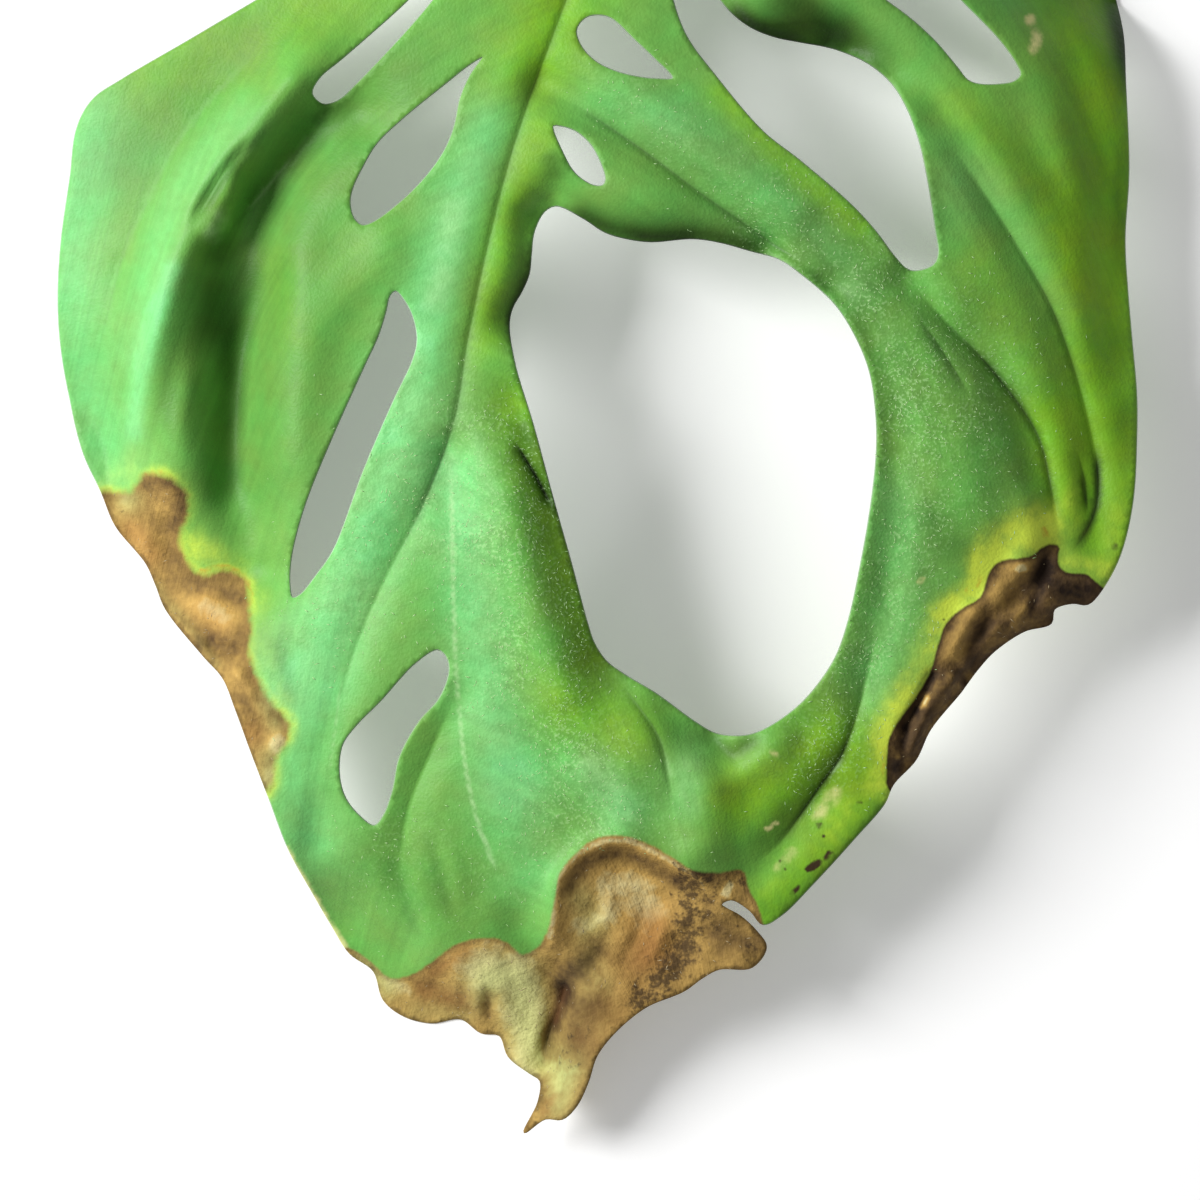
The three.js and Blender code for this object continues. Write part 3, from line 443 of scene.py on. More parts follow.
# Where the dry tissue is paler or darker than its zone
DRY_TONES: Sequence[Stroke] = (
    # left edge: dark ring round a pale spot, orange rim, golden pads lightened as painted light where they rise,
    # and dark clefts as painted shade
    Stroke(-0.2, 0.8, ((-45.7, 11.5), (-43.4, 11.7), (-42, 10.1), (-42.3, 8.3), (-43.4, 7.1))),
    Stroke(0.2, 1.2, ((-47.6, 10),)),
    Stroke(0.12, 0.7, ((-44.4, 9.3),)),
    Stroke(0.1, 1.0, ((-47.2, 7.1), (-45.3, 5.2))),
    Stroke(-0.16, 0.9, ((-43, 4.1),)),
    Stroke(-0.14, 0.9, ((-42.5, 1.8), (-36, 0.4))),
    Stroke(0.34, 1.2, ((-39.8, -0.4), (-38.2, -1.6))),
    Stroke(-0.26, 1.1, ((-38.8, -4), (-37, -4.6))),
    Stroke(0.2, 0.6, ((-36.3, -7.4),)),
    Stroke(0.2, 0.6, ((-35.1, -9),)),
    Stroke(-0.14, 0.8, ((-36, -10), (-34.7, -12))),
    Stroke(0.6, 1.0, ((-32.3, -14.6),)),
    Stroke(0.3, 1.2, ((-33.3, -17.6),)),
    Stroke(-0.1, 0.8, ((-43.4, -0.5), (-41, -3), (-38.6, -6.4))),
    # right edge: paler pads as painted light where they rise, an ochre stripe, black clefts as painted shade, and
    # cream grains
    Stroke(0.3, 1.4, ((38.4, -1), (39.8, 1), (41, 2.4), (41.8, 3.2))),
    Stroke(0.26, 0.35, ((43.4, 1.1), (42.3, -0.9), (41.4, -2.6))),
    Stroke(-0.4, 0.9, ((45.2, 5.2), (44.4, 3), (43.5, 0.8), (42.8, -1.8)), Fade.ROUND, 2),
    Stroke(-0.26, 1.2, ((46.2, 1.2), (48.8, 1))),
    Stroke(-0.24, 0.7, ((38.4, 0.8), (38.6, -2), (37.4, -4.6), (36.2, -7.4)), Fade.ROUND, 2),
    Stroke(-0.12, 0.35, ((39.6, 3), (38.6, 0.6), (37.4, -2.2), (36.2, -4.6))),
    Stroke(0.28, 1.1, ((35.4, -5), (36.4, -3), (36.9, -1.5))),
    Stroke(0.1, 0.8, ((34.1, -8.5), (36, -6))),
    Stroke(-0.2, 0.5, ((36.8, -9.2), (35.6, -6.9))),
    Stroke(-0.3, 0.5, ((33.2, -7.5), (31.6, -10.7), (30.4, -12.6))),
    Stroke(-0.1, 0.6, ((33.8, -9.6), (32.4, -12), (31.2, -14.6))),
    Stroke(-0.26, 0.45, ((30.6, -13), (29.6, -17))),
    Stroke(0.75, 0.35, ((41.8, 3.1), (42.4, 3.2))),
    Stroke(0.85, 0.3, ((32.6, -9.7), (32.3, -10.5))),
    Stroke(0.7, 0.28, ((29.8, -15.5),)),
    # cup: pale crust, brown band inside it, golden floor and the dark hollow at its left, which is painted shade
    Stroke(0.4, 0.3, TIP_CREST, Fade.ROUND, 2),
    Stroke(-0.3, 0.7, ((-3.2, -29), (-1.8, -26.8), (0.2, -25.7), (2.2, -25.4), (4.4, -26.2), (7.6, -28.2))),
    Stroke(0.34, 2.0, ((1.6, -28.6), (4, -30), (4.8, -31.4))),
    Stroke(-0.06, 1.8, ((5.2, -33.4), (4.4, -36))),
    Stroke(0.32, 1.2, ((-1.8, -32.6), (-0.4, -32.2), (0.6, -31.4))),
    Stroke(-0.4, 1.4, ((-0.6, -35.4), (-2.6, -37), (-4, -38.2))),
    # painted shade down the crevice of the point
    Stroke(-0.6, 0.85, ((-3.3, -38), (-4.1, -41.2), (-5.2, -43.9), (-5.7, -47.2)), Fade.ROUND, 1.5),
    Stroke(-0.34, 2.0, ((-1.2, -40.5), (-1.8, -43), (-2.6, -45))),
    Stroke(0.08, 1.4, ((-2.8, -47), (-3.8, -50))),
    Stroke(-0.2, 0.9, ((-5.6, -48), (-5.8, -50.6))),
    # flap left of the crevice
    Stroke(0.42, 2.4, ((-12.4, -36.8), (-8.6, -37.6), (-7.4, -41.5), (-6.8, -45.5))),
    Stroke(0.06, 2.6, ((-23.6, -36.6), (-20, -40), (-15.6, -41), (-11, -42))),
    Stroke(-0.06, 1.1, ((-18, -38.6), (-15.2, -36.6), (-12.8, -34.6))),
    Stroke(-0.16, 1.4, ((-17.4, -39.8), (-14.6, -40))),
    Stroke(0.22, 1.0, ((-21.4, -38.6), (-19.8, -39.2))),
    # painted shade in the groove between the flap's ribs
    Stroke(-0.3, 0.45, ((-11.3, -38.2), (-11.3, -43.4)), Fade.ROUND, 2),
    # the flap at the tear
    Stroke(-0.22, 2.2, ((12.4, -33.2), (15, -35))),
    Stroke(-0.16, 1.2, ((9.6, -27.6), (12.6, -27.8), (14.4, -29))),
    Stroke(0.6, 0.4, ((12.5, -29.2), (13.1, -28.4))),
)

# Share of each colour that the tissue takes
TINTS: Mapping[str, Sequence[Stroke]] = {
    # painted sheen: cool pale green that lightens the blade where it faces the light
    "painted_sheen": (
        Stroke(0.75, 3.6, ((-50.4, 48.6), (-52.5, 42), (-53.2, 32), (-52, 21), (-49.5, 13))),
        Stroke(0.45, 2.2, ((-36, 48.5), (-42, 41), (-44.5, 34), (-46.5, 25))),
        Stroke(0.9, 1.0, ((-42.8, 33), (-44.8, 27.5), (-46, 22.8), (-46.8, 17))),
        Stroke(0.95, 3.0, ((-11, 47), (-15.2, 36), (-17.6, 26))),
        Stroke(0.95, 4.0, ((-19, 20), (-23, 8), (-26, -1), (-29, -8))),
        Stroke(0.7, 4.0, ((-31, -10), (-30.5, -19), (-29, -24))),
        Stroke(0.85, 3.5, ((-14.5, 12), (-13, 2), (-11.5, -8), (-9, -18))),
        Stroke(0.45, 4.0, ((-9, -19), (-7, -27))),
        Stroke(0.6, 3.0, ((-1, -17), (2, -21))),
        Stroke(0.5, 2.6, ((8.8, -16.5), (9, -20))),
        Stroke(0.45, 3.0, ((-2, 50.5), (6, 48))),
        Stroke(0.35, 4.0, ((10, 46.5), (18, 39.5))),
        Stroke(0.3, 2.6, ((35, 47), (39, 42), (42, 36.5), (45.5, 30))),
        Stroke(0.25, 3.0, ((35, 41), (36, 37))),
        Stroke(0.35, 3.0, ((29.5, 10), (30, 2), (29, -4), (27.6, -9))),
        Stroke(0.3, 2.0, ((22, 36), (26, 31))),
    ),
    # warm yellow green, towards the stalk and the right edge
    "lime": (
        Stroke(0.9, 5.0, ((2, 74), (-3, 62), (-6, 54))),
        Stroke(0.7, 2.6, ((-6.5, 46), (-9.8, 36), (-11.4, 26))),
        Stroke(0.5, 5.0, ((-10, 69), (-28, 60), (-44, 53))),
        Stroke(1.0, 5.0, ((49, 62), (50.5, 45), (51, 28), (51, 6))),
        Stroke(0.6, 3.0, ((36, 49), (41, 44.5), (45.5, 39), (48, 34))),
        Stroke(0.4, 4.0, ((38, 34), (43, 25), (46, 14))),
        Stroke(0.6, 2.6, ((45, 18), (46.6, 10))),
        Stroke(0.8, 2.4, ((-8.5, 20), (-6.5, 13), (-4, 4), (-1, -5))),
        Stroke(0.7, 3.5, ((-3, -10), (3, -13))),
        Stroke(0.95, 4.0, ((14, -20), (20, -18), (23, -14))),
        Stroke(0.9, 3.5, ((27.5, -18), (22, -26), (17, -31))),
        Stroke(0.7, 1.6, ((12, 50.5), (20, 42.5), (26, 37.5))),
        Stroke(0.2, 2.0, ((-32.5, 34), (-30.5, 26))),
        # painted highlight on the sliver in the left lobe's furrow
        Stroke(0.2, 1.4, ((-35.6, 43), (-37.2, 40), (-38.6, 37), (-39.8, 34.8))),
    ),
    # painted shade: dark green in the furrows and pleats, in hollows and along rolled edges
    "painted_shade": (
        # left lobe and its furrow
        Stroke(0.28, 4.0, ((-48, 44), (-42.5, 50), (-35, 56))),
        Stroke(0.4, 1.3, ((-26.5, 51.2), (-30.2, 46.8), (-33, 43.2), (-35.4, 40), (-37, 37.4)), Fade.ROUND, 5),
        Stroke(0.4, 1.5, ((-37.2, 37.6), (-38.3, 35), (-38.8, 32.4)), Fade.ROUND, 2.5),
        Stroke(0.65, 2.0, ((-38, 35.6), (-38.5, 32), (-39, 28.6), (-39.4, 23)), Fade.ROUND, 4.5),
        Stroke(0.5, 1.4, ((-34.2, 36.6), (-35.6, 33), (-36.6, 29), (-37.4, 24), (-37.8, 20)), Fade.ROUND, 4),
        Stroke(0.28, 1.4, ((-37.2, 26), (-38, 18.4), (-38.4, 13.6), (-38.6, 8), (-38, 3)), Fade.ROUND, 9),
        Stroke(0.12, 2.6, ((-39.4, 29), (-40, 24), (-40.6, 18), (-39.6, 10))),
        Stroke(0.35, 1.0, ((-42.6, 27), (-43.4, 21), (-43.6, 15)), Fade.ROUND, 5),
        Stroke(0.2, 4.0, ((-31.5, 32), (-32.5, 24), (-33, 12))),
        Stroke(0.2, 4.0, ((-31, 39), (-26, 45.5), (-20, 52))),
        # pleats below the lower left hole
        Stroke(0.15, 3.0, ((-21, -27), (-16, -30))),
        Stroke(0.3, 0.7, ((-21.4, -25), (-19.4, -31), (-18, -35)), Fade.ROUND, 3),
        Stroke(0.3, 0.7, ((-17.4, -23), (-15.9, -29), (-14.6, -33)), Fade.ROUND, 3),
        Stroke(0.3, 1.0, ((-32.4, -4.5), (-31.2, -9.5))),
        # rolled edges of the great hole
        Stroke(0.9, 1.3, (
            (-4.4, 39.3), (-1.6, 38.3), (0.4, 37.2), (3, 36.6), (6, 36.4), (9.3, 36.5), (12.1, 36), (15, 35.2),
            (17.8, 34.4),
        ), Fade.ROUND, 3),
        Stroke(0.1, 1.8, ((0.5, 38.8), (4, 38.4), (8, 38))),
        Stroke(0.8, 1.2, ((-6.8, 36.4), (-7.1, 32.8), (-8.7, 29.2), (-9.0, 27), (-8.5, 23.5)), Fade.ROUND, 3),
        Stroke(0.5, 1.2, ((-5.2, 45), (-4.4, 41.5)), Fade.ROUND, 1),
        Stroke(0.5, 2.6, ((-4.0, 8), (-2.2, 1), (-0.4, -5.4))),
        Stroke(0.6, 1.3, ((-7.7, 17), (-6.2, 13.6), (-4.5, 9.6))),
        Stroke(0.15, 3.5, ((7, 46), (13, 41))),
        Stroke(0.3, 3.0, ((20, 36), (25, 31))),
        Stroke(0.2, 3.5, ((28, 27), (30, 21))),
        # right lobe and the arms around its holes
        Stroke(0.95, 1.5, ((11.9, 60.4), (13.4, 58.7), (15.4, 57.3), (19, 56.3), (24, 55.3)), Fade.ROUND, 3),
        Stroke(0.85, 2.4, ((14, 61.5), (20, 59), (25, 56), (30, 51.5)), Fade.ROUND, 6),
        Stroke(0.4, 4.0, ((38, 66), (46, 62), (49, 56))),
        Stroke(0.4, 1.0, ((32.6, 44), (33.4, 38), (33.4, 34.6)), Fade.ROUND, 3),
        Stroke(0.4, 1.8, ((36.6, 51), (39.5, 47.5), (43, 43), (46.2, 38), (48.6, 32)), Fade.ROUND, 9),
        Stroke(0.22, 2.4, ((46.2, 60), (47.6, 48), (49.8, 41), (50.6, 34)), Fade.ROUND, 9),
        Stroke(0.8, 1.4, ((49.4, 65), (51.4, 60), (52.6, 55), (52.8, 47)), Fade.ROUND, 8),
        Stroke(0.4, 0.8, ((52.6, 50), (52.1, 42), (52, 36), (52.4, 30)), Fade.ROUND, 7),
        Stroke(0.2, 2.0, ((51.5, 25), (52.2, 14))),
        Stroke(0.15, 2.2, ((42.4, 20), (43.6, 14), (44, 9))),
        Stroke(0.4, 1.6, ((33, 8.4), (34.8, 5.4))),
        Stroke(0.4, 0.9, ((37.2, 4.6), (37.6, 2.8))),
        # outer edge of the strip along the lower right
        Stroke(0.5, 0.8, ((28.2, -20.4), (25.2, -24), (21.2, -28.4), (18.2, -31.4))),
        # knob above the tip
        Stroke(0.2, 1.8, ((18, -20.5), (21, -18.6), (23.2, -15.4))),
        Stroke(0.4, 1.4, ((13.8, -25.5), (17.4, -22.6), (20, -19.6)), Fade.ROUND, 3),
        Stroke(0.55, 0.9, ((11.3, -13.9), (13, -15.2), (15, -14.2))),
        # right end
        Stroke(0.15, 2.0, ((52.2, 10), (51.2, 5))),
    ),
    # near black, at the bottom of the creases and under the rolled edges
    "shade": (
        Stroke(0.55, 0.25, (
            (2.2, 75.5), (-3.4, 60), (-9, 44.2), (-13.1, 26.8), (-14.6, 18), (-17.5, 10), (-21.5, 2),
        ), Fade.ROUND, 9),
        Stroke(0.5, 0.25, ((-3, 49.8), (3.3, 45.5), (10.6, 40.1), (15.4, 36.8), (21, 33)), Fade.ROUND, 5),
        Stroke(0.95, 0.3, ((-8.5, 15.7), (-6.5, 12.5), (-4.6, 8.8)), Fade.ROUND, 2),
        Stroke(0.3, 0.25, ((1.8, -8), (5.8, -13.7), (7, -19)), Fade.ROUND, 3),
        Stroke(0.6, 0.25, (
            (36.4, 43.6), (39.8, 38.4), (42.3, 34.3), (45.3, 28.8), (48.2, 20.3), (49.8, 12.6), (49.7, 10),
        ), Fade.ROUND, 18),
        Stroke(0.95, 0.42, ((49.5, 16), (49.8, 12), (49.6, 9.3), (48.7, 7), (46.9, 4.5)), Fade.ROUND, 3),
        Stroke(0.75, 0.28, ((34.9, 27.4), (39.2, 22.9), (43.7, 16.5), (45, 11.4), (45.9, 6.2)), Fade.ROUND, 6),
        Stroke(0.5, 0.25, ((32, 27.8), (34.2, 24.6), (37, 20.2)), Fade.ROUND, 3),
        Stroke(0.85, 0.3, ((48, 13.6), (48.5, 10.2), (48.9, 8.2)), Fade.ROUND, 2),
        Stroke(0.85, 0.3, (
            (26.4, -8), (25.6, -11.4), (23.9, -15.8), (22.2, -18.2), (20, -21.4), (17.6, -24.5), (15, -26.6),
        ), Fade.ROUND, 8),
        # under the rolled edges of the great hole and of the hole above it
        Stroke(0.75, 0.6, ((1.6, 36.7), (5, 36.1), (9.3, 36.3), (11, 36)), Fade.ROUND, 3),
        Stroke(0.7, 0.45, ((-7.1, 33.4), (-7.8, 31.1), (-9, 28.4), (-8.9, 26)), Fade.ROUND, 2),
        Stroke(0.8, 0.7, ((12.6, 59.4), (15.2, 57.4), (18, 56.4), (21.5, 55.7)), Fade.ROUND, 3),
        Stroke(0.7, 0.7, ((50.6, 64), (52.2, 59), (52.9, 54), (53, 49)), Fade.ROUND, 6),
        Stroke(0.5, 0.6, ((-28, 50.6), (-27.2, 49.4), (-29, 47.4)), Fade.ROUND, 1),
        # bottom of the left lobe's furrow, and the gap beside the sliver
        Stroke(0.25, 1.0, ((-35.8, 32), (-37, 27), (-37.6, 21), (-38.2, 14)), Fade.ROUND, 6),
        Stroke(0.34, 1.4, ((-37.2, 37.6), (-38.3, 35), (-38.8, 32.4)), Fade.ROUND, 2.5),
        Stroke(0.55, 0.4, ((-32.4, 48.2), (-35, 45.2), (-37.6, 41.9), (-39.6, 38.6), (-40.6, 36.8)), Fade.ROUND, 4),
        Stroke(0.3, 0.5, ((-33.2, 43), (-35.2, 39.8), (-37, 36.4), (-38.4, 33.6)), Fade.ROUND, 4),
    ),
    # yellowed tissue around the dry edges
    "yellow": (
        # right edge
        Stroke(1.3, 2.5, ((40, 4.8), (42.4, 6.4), (44.2, 7))),
        Stroke(1.15, 1.5, ((38.4, 3.2), (37.2, 0.9), (35.5, -0.6))),
        Stroke(0.9, 1.0, ((46.9, 3.9), (49.4, 3.2), (50.6, 2.6))),
        Stroke(0.95, 2.0, ((33.6, -2.6), (32.4, -6), (30.6, -9.8), (28.8, -13.2))),
        Stroke(0.6, 1.4, ((28.4, -15), (27.8, -18.4))),
        Stroke(0.3, 1.6, ((52, 9), (51, 4.5))),
        Stroke(0.35, 1.2, ((47.2, 12), (47.4, 7.5))),
        # strip below it
        Stroke(0.3, 1.6, ((25.6, -19.6), (23.6, -21.6), (19.6, -26), (17.2, -29))),
        Stroke(0.25, 1.2, ((25.4, -21.8), (24.2, -23.8))),
        # knob above the tip: yellowed tissue, brightened on its crest as a painted highlight
        Stroke(0.3, 1.8, ((11.8, -19.6), (14.6, -18.8), (17.4, -16.8))),
        # left edge
        Stroke(0.5, 1.8, ((-49.3, 12.6), (-47.4, 12.8))),
        Stroke(0.6, 1.5, ((-40.8, 6.4), (-40.8, 5))),
        Stroke(0.4, 1.6, ((-38.4, 4.6), (-36.4, 3.8))),
        Stroke(0.3, 1.4, ((-34, 0.5), (-33.4, -6), (-31.8, -10.4))),
    ),
    # orange tissue, dying
    "ember": (
        Stroke(0.7, 0.4, ((44.3, 7.2), (44.6, 6.4))),
        Stroke(0.8, 0.3, ((36.6, 1.1),)),
        Stroke(0.6, 0.3, ((38, 2.4), (37.6, 1.4))),
        Stroke(0.6, 0.3, ((-45.8, 12.7), (-44, 12.8))),
        Stroke(0.6, 0.35, ((-40.2, 2.9), (-37.6, 3.4), (-35.6, 2.4), (-35, 0.5))),
        Stroke(0.5, 0.35, ((28.4, -14.6), (28.2, -17.4))),
    ),
    # fine pale veins that aren't sunk, and painted highlights on the sliver in the left lobe's furrow and on pads
    # of the blade
    "pale": (
        Stroke(0.7, 0.25, ((-14.9, 15), (-14.2, -9.3), (-12.8, -20), (-9.4, -30)), Fade.ROUND, 6),
        Stroke(0.4, 0.22, ((-23.2, -1), (-25.4, -6), (-26.5, -13), (-27.4, -20)), Fade.ROUND, 4),
        Stroke(0.3, 0.2, ((-12.6, -22), (-9.6, -27), (-7.0, -32)), Fade.ROUND, 3),
        Stroke(0.3, 0.2, ((1.4, -7.6), (6.0, -13.9), (7.2, -19)), Fade.ROUND, 3),
        Stroke(0.45, 0.25, ((24.3, -15.6), (23, -17.6)), Fade.ROUND, 0.5),
        Stroke(0.4, 0.25, ((-30.2, 45), (-33, 41.8), (-36, 38.2)), Fade.ROUND, 2),
        # painted highlights: wide pale strokes that lighten the sliver and pads of the blade
        Stroke(0.45, 1.2, ((-37, 40.4), (-38.4, 37.6), (-39.8, 34.6)), Fade.ROUND, 2.5),
        Stroke(0.3, 2.2, ((8.8, -17), (9.2, -20.5))),
        Stroke(0.35, 2.2, ((-14.2, 39), (-16.4, 30))),
        Stroke(0.35, 2.6, ((-0.6, -16.5), (2.4, -20.5))),
    ),
    # dried scars on living tissue
    "scar": (
        Stroke(0.85, 0.8, ((43.1, 58.2),)),
        Stroke(0.8, 0.9, ((43.7, 56.4), (43.4, 55.2))),
        Stroke(0.7, 0.5, ((31.8, 1.8), (32.2, 2.2))),
        Stroke(0.7, 0.5, ((-31.3, -24.8), (-29.0, -29.2), (-26.9, -33.0), (-25.2, -35.6))),
        Stroke(0.75, 0.5, ((17.1, -15.1), (17.5, -15.4))),
        Stroke(0.9, 0.35, ((16.6, -22.9), (17.7, -22.2))),
        Stroke(0.6, 1.3, ((23.6, -19.2), (21.8, -21.4))),
        Stroke(0.55, 1.0, ((19.2, -25.2), (17.8, -26.8))),
    ),
    # small dark spots
    "spot": (
        Stroke(1.0, 0.45, ((21.9, -22.5),)),
        Stroke(0.9, 0.35, ((25.9, -20.2),)),
        Stroke(0.9, 0.28, ((22.3, -23.7),)),
        Stroke(1.0, 0.45, ((20.8, -26.9), (21.7, -26.3))),
        Stroke(0.8, 0.4, ((23, -25.2), (22.6, -25.8))),
        Stroke(0.8, 0.3, ((18.1, -26.1),)),
        Stroke(0.8, 0.3, ((18.5, -26.8),)),
        Stroke(0.8, 0.35, ((19.8, -28.7), (19.2, -29.3))),
        Stroke(0.7, 0.25, ((-14.5, 36.0),)),
        Stroke(0.7, 0.25, ((31.6, -5.5),)),
        Stroke(0.7, 0.25, ((30.7, -7.8),)),
        Stroke(0.7, 0.25, ((34.2, -1.9),)),
        Stroke(0.8, 0.55, ((51.5, 5.3),)),
    ),
    # where dry tissue is greenish grey rather than brown
    "olive": (
        Stroke(0.9, 2.6, ((-11, -38), (-8.6, -38), (-7.4, -42), (-6.4, -46))),
        Stroke(0.4, 1.6, ((-2.2, -29.5), (-0.6, -32.5), (-1.2, -36))),
        Stroke(0.8, 1.6, ((-2.8, -46.6), (-4.4, -50.6))),
        Stroke(0.6, 2.2, ((-0.8, -39), (-1.6, -42), (-2.6, -44.6))),
        Stroke(0.6, 1.6, ((-47.4, 10),)),
        Stroke(0.4, 0.6, ((-44.6, 1.4), (-43.4, -0.5), (-41, -3), (-38.6, -6.4))),
        Stroke(0.7, 1.2, ((-33.2, -10), (-32.4, -12))),
        Stroke(0.6, 1.4, ((-33, -16), (-33.2, -18))),
        Stroke(0.6, 1.6, ((-24, -36.4), (-21.6, -38.8))),
        Stroke(0.35, 2.0, ((-18, -41), (-14, -41))),
    ),
    # reddish brown on dry tissue
    "rust": (
        Stroke(0.4, 1.2, ((-47.2, 7.2), (-45.2, 4.6))),
        Stroke(0.3, 1.4, ((-39.4, -0.8), (-38.2, -1.8))),
        Stroke(0.3, 1.2, ((-35, -13.4),)),
        Stroke(0.4, 2.0, ((5.4, -32.4), (5.2, -35.4))),
        Stroke(0.25, 3.0, ((4.6, -34), (2, -38.6), (-1.8, -44))),
        Stroke(0.4, 1.3, ((-18, -39.4), (-15.6, -40), (-13.8, -40.2))),
        Stroke(0.4, 0.8, ((-16.8, -37.4), (-13.4, -35.2))),
        Stroke(0.4, 0.6, ((-4.6, -50), (-5.6, -51.4))),
        Stroke(0.2, 0.4, ((-3.5, -38.4), (-4.2, -41), (-4.9, -43)), Fade.ROUND, 1),
    ),
    # dark brown specks on dry tissue
    "speck": (
        Stroke(0.95, 1.9, ((9, -27.6), (9.4, -29.6), (8.9, -32.4), (8.6, -34.6), (7.2, -37.2), (4.2, -39.8))),
        Stroke(0.6, 1.6, ((12.6, -32.8), (15, -34.8))),
        Stroke(0.5, 1.0, ((10.4, -27.6), (13.6, -28.2))),
        Stroke(0.4, 1.2, ((-1.8, -43), (-3.4, -46.6))),
    ),
    # where pale scales and fibres lie on the wax
    "fleck": (
        Stroke(0.8, 6.5, ((-11, 14), (-8, 0), (-4, -12), (0, -20))),
        Stroke(0.75, 5.0, ((20, 37), (28, 27), (30, 12), (28, -2), (22, -14))),
        Stroke(0.5, 6.0, ((36, 26), (38, 14))),
        Stroke(0.35, 5.0, ((-20, -26), (-12, -28))),
        Stroke(0.25, 6.0, ((-20, 16), (-26, -2))),
        Stroke(0.25, 5.0, ((4, 50), (16, 40))),
    ),
}


def smooth_line(points: Line, step: float, closed: bool = False) -> np.ndarray:
    """Runs a centripetal Catmull-Rom curve through drawn points.

    Args:
        points: Drawn points, of two or three coordinates.
        step: Longest distance between two points of the result.
        closed: Whether the curve comes back to its first point.

    Returns:
        Points along the curve, every drawn point among them. A closed curve doesn't repeat its first.
    """
    drawn = np.asarray(points, dtype=float)
    if len(drawn) < 2:
        return drawn
    if closed:
        ring = np.vstack([drawn[-1], drawn, drawn[0], drawn[1]])
    else:
        ring = np.vstack([2 * drawn[0] - drawn[1], drawn, 2 * drawn[-1] - drawn[-2]])
    stretches = []
    for before, start, end, after in zip(ring[:-3], ring[1:-2], ring[2:-1], ring[3:]):
        gaps = [np.sqrt(np.linalg.norm(b - a)) for a, b in ((before, start), (start, end), (end, after))]
        lead = (start - before) / gaps[0] - (end - before) / (gaps[0] + gaps[1]) + (end - start) / gaps[1]
        trail = (end - start) / gaps[1] - (after - start) / (gaps[1] + gaps[2]) + (after - end) / gaps[2]
        lead, trail = lead * gaps[1], trail * gaps[1]
        count = max(1, int(np.ceil(np.linalg.norm(end - start) / step)))
        t = (np.arange(count) / count)[:, None]
        bend = 3 * (end - start) - 2 * lead - trail
        stretches.append(start + lead * t + bend * t**2 + (2 * (start - end) + lead + trail) * t**3)
    if not closed:
        stretches.append(drawn[-1:])
    return np.vstack(stretches)


def along_line(spots: np.ndarray, line: np.ndarray) -> tuple[np.ndarray, np.ndarray]:
    """Measures where each spot lies beside a chain of straight stretches.

    Args:
        spots: Places in plan, one row each.
        line: Points of the chain, or a single point.

    Returns:
        The shortest distance for each spot, and how far its nearest point is from the chain's nearer end.
    """
    if len(line) == 1:
        return np.linalg.norm(spots - line[0], axis=1), np.zeros(len(spots))
    nearest = np.full(len(spots), np.inf)
    passed = np.zeros(len(spots))
    travelled = 0.0
    for start, end in zip(line[:-1], line[1:]):
        run = end - start
        length = np.linalg.norm(run)
        share = np.clip((spots - start) @ run / length**2, 0.0, 1.0)
        gap = spots - start - share[:, None] * run
        square = np.einsum("ij,ij->i", gap, gap)
        nearer = square < nearest
        nearest = np.where(nearer, square, nearest)
        passed = np.where(nearer, travelled + share * length, passed)
        travelled += length
    return np.sqrt(nearest), np.minimum(passed, travelled - passed)


def inside(spots: np.ndarray, loops: Iterable[np.ndarray]) -> np.ndarray:
    """Tells which spots lie inside closed loops, where a loop within another is a hole.

    Args:
        spots: Places in plan, one row each.
        loops: Closed loops, without their first point repeated.

    Returns:
        One truth value for each spot.
    """
    within = np.zeros(len(spots), dtype=bool)
    x, y = spots[:, 0], spots[:, 1]
    for loop in loops:
        for (x0, y0), (x1, y1) in zip(loop, np.roll(loop, -1, axis=0)):
            if y0 == y1:
                continue
            crossed = (y0 > y) != (y1 > y)
            within ^= crossed & (x < x0 + (y - y0) * (x1 - x0) / (y1 - y0))
    return within


def strokes_at(spots: np.ndarray, strokes: Iterable[Stroke], step: float = 2.0) -> np.ndarray:
    """Adds up the strength of soft strokes at each spot.

    Args:
        spots: Places in plan, one row each.
        strokes: The strokes to add up.
        step: Distance between the points that a stroke's line is followed by.

    Returns:
        The summed strength for each spot.
    """
    total = np.zeros(len(spots))
    for stroke in strokes:
        line = smooth_line(stroke.line, step)
        far = stroke.reach * FADED[stroke.fade]
        near = np.all((spots > line.min(axis=0) - far) & (spots < line.max(axis=0) + far), axis=1)
        gap, from_end = along_line(spots[near], line)
        strength = stroke.amount * np.exp(-((gap / stroke.reach) ** stroke.fade.value))
        if stroke.taper:
            strength *= eased(from_end, 0.0, stroke.taper)
        total[near] += strength
    return total


def eased(values: np.ndarray, low: float, high: float) -> np.ndarray:
    """Rises smoothly from 0 at low to 1 at high.

    Args:
        values: Values to ease.
        low: Value that gives 0.
        high: Value that gives 1.

    Returns:
        The eased values.
    """
    share = np.clip((values - low) / (high - low), 0.0, 1.0)
    return share * share * (3 - 2 * share)


def ruffle(spots: np.ndarray, size: float, seed: int) -> np.ndarray:
    """Gives smooth random heights, as crumpled tissue has.

    Args:
        spots: Places in plan, one row each.
        size: Width of a bump in millimetres.
        seed: Seed of the heights.

    Returns:
        A height from -1 to 1 for each spot.
    """
    cells = 256
    heights = np.random.default_rng(seed).uniform(-1, 1, (cells, cells))
    place = spots / size
    corner = np.floor(place).astype(int)
    share = eased(place - corner, 0.0, 1.0)
    (i, j), (k, m) = (corner % cells).T, ((corner + 1) % cells).T
    near = heights[i, j] + (heights[k, j] - heights[i, j]) * share[:, 0]
    far = heights[i, m] + (heights[k, m] - heights[i, m]) * share[:, 0]
    return near + (far - near) * share[:, 1]


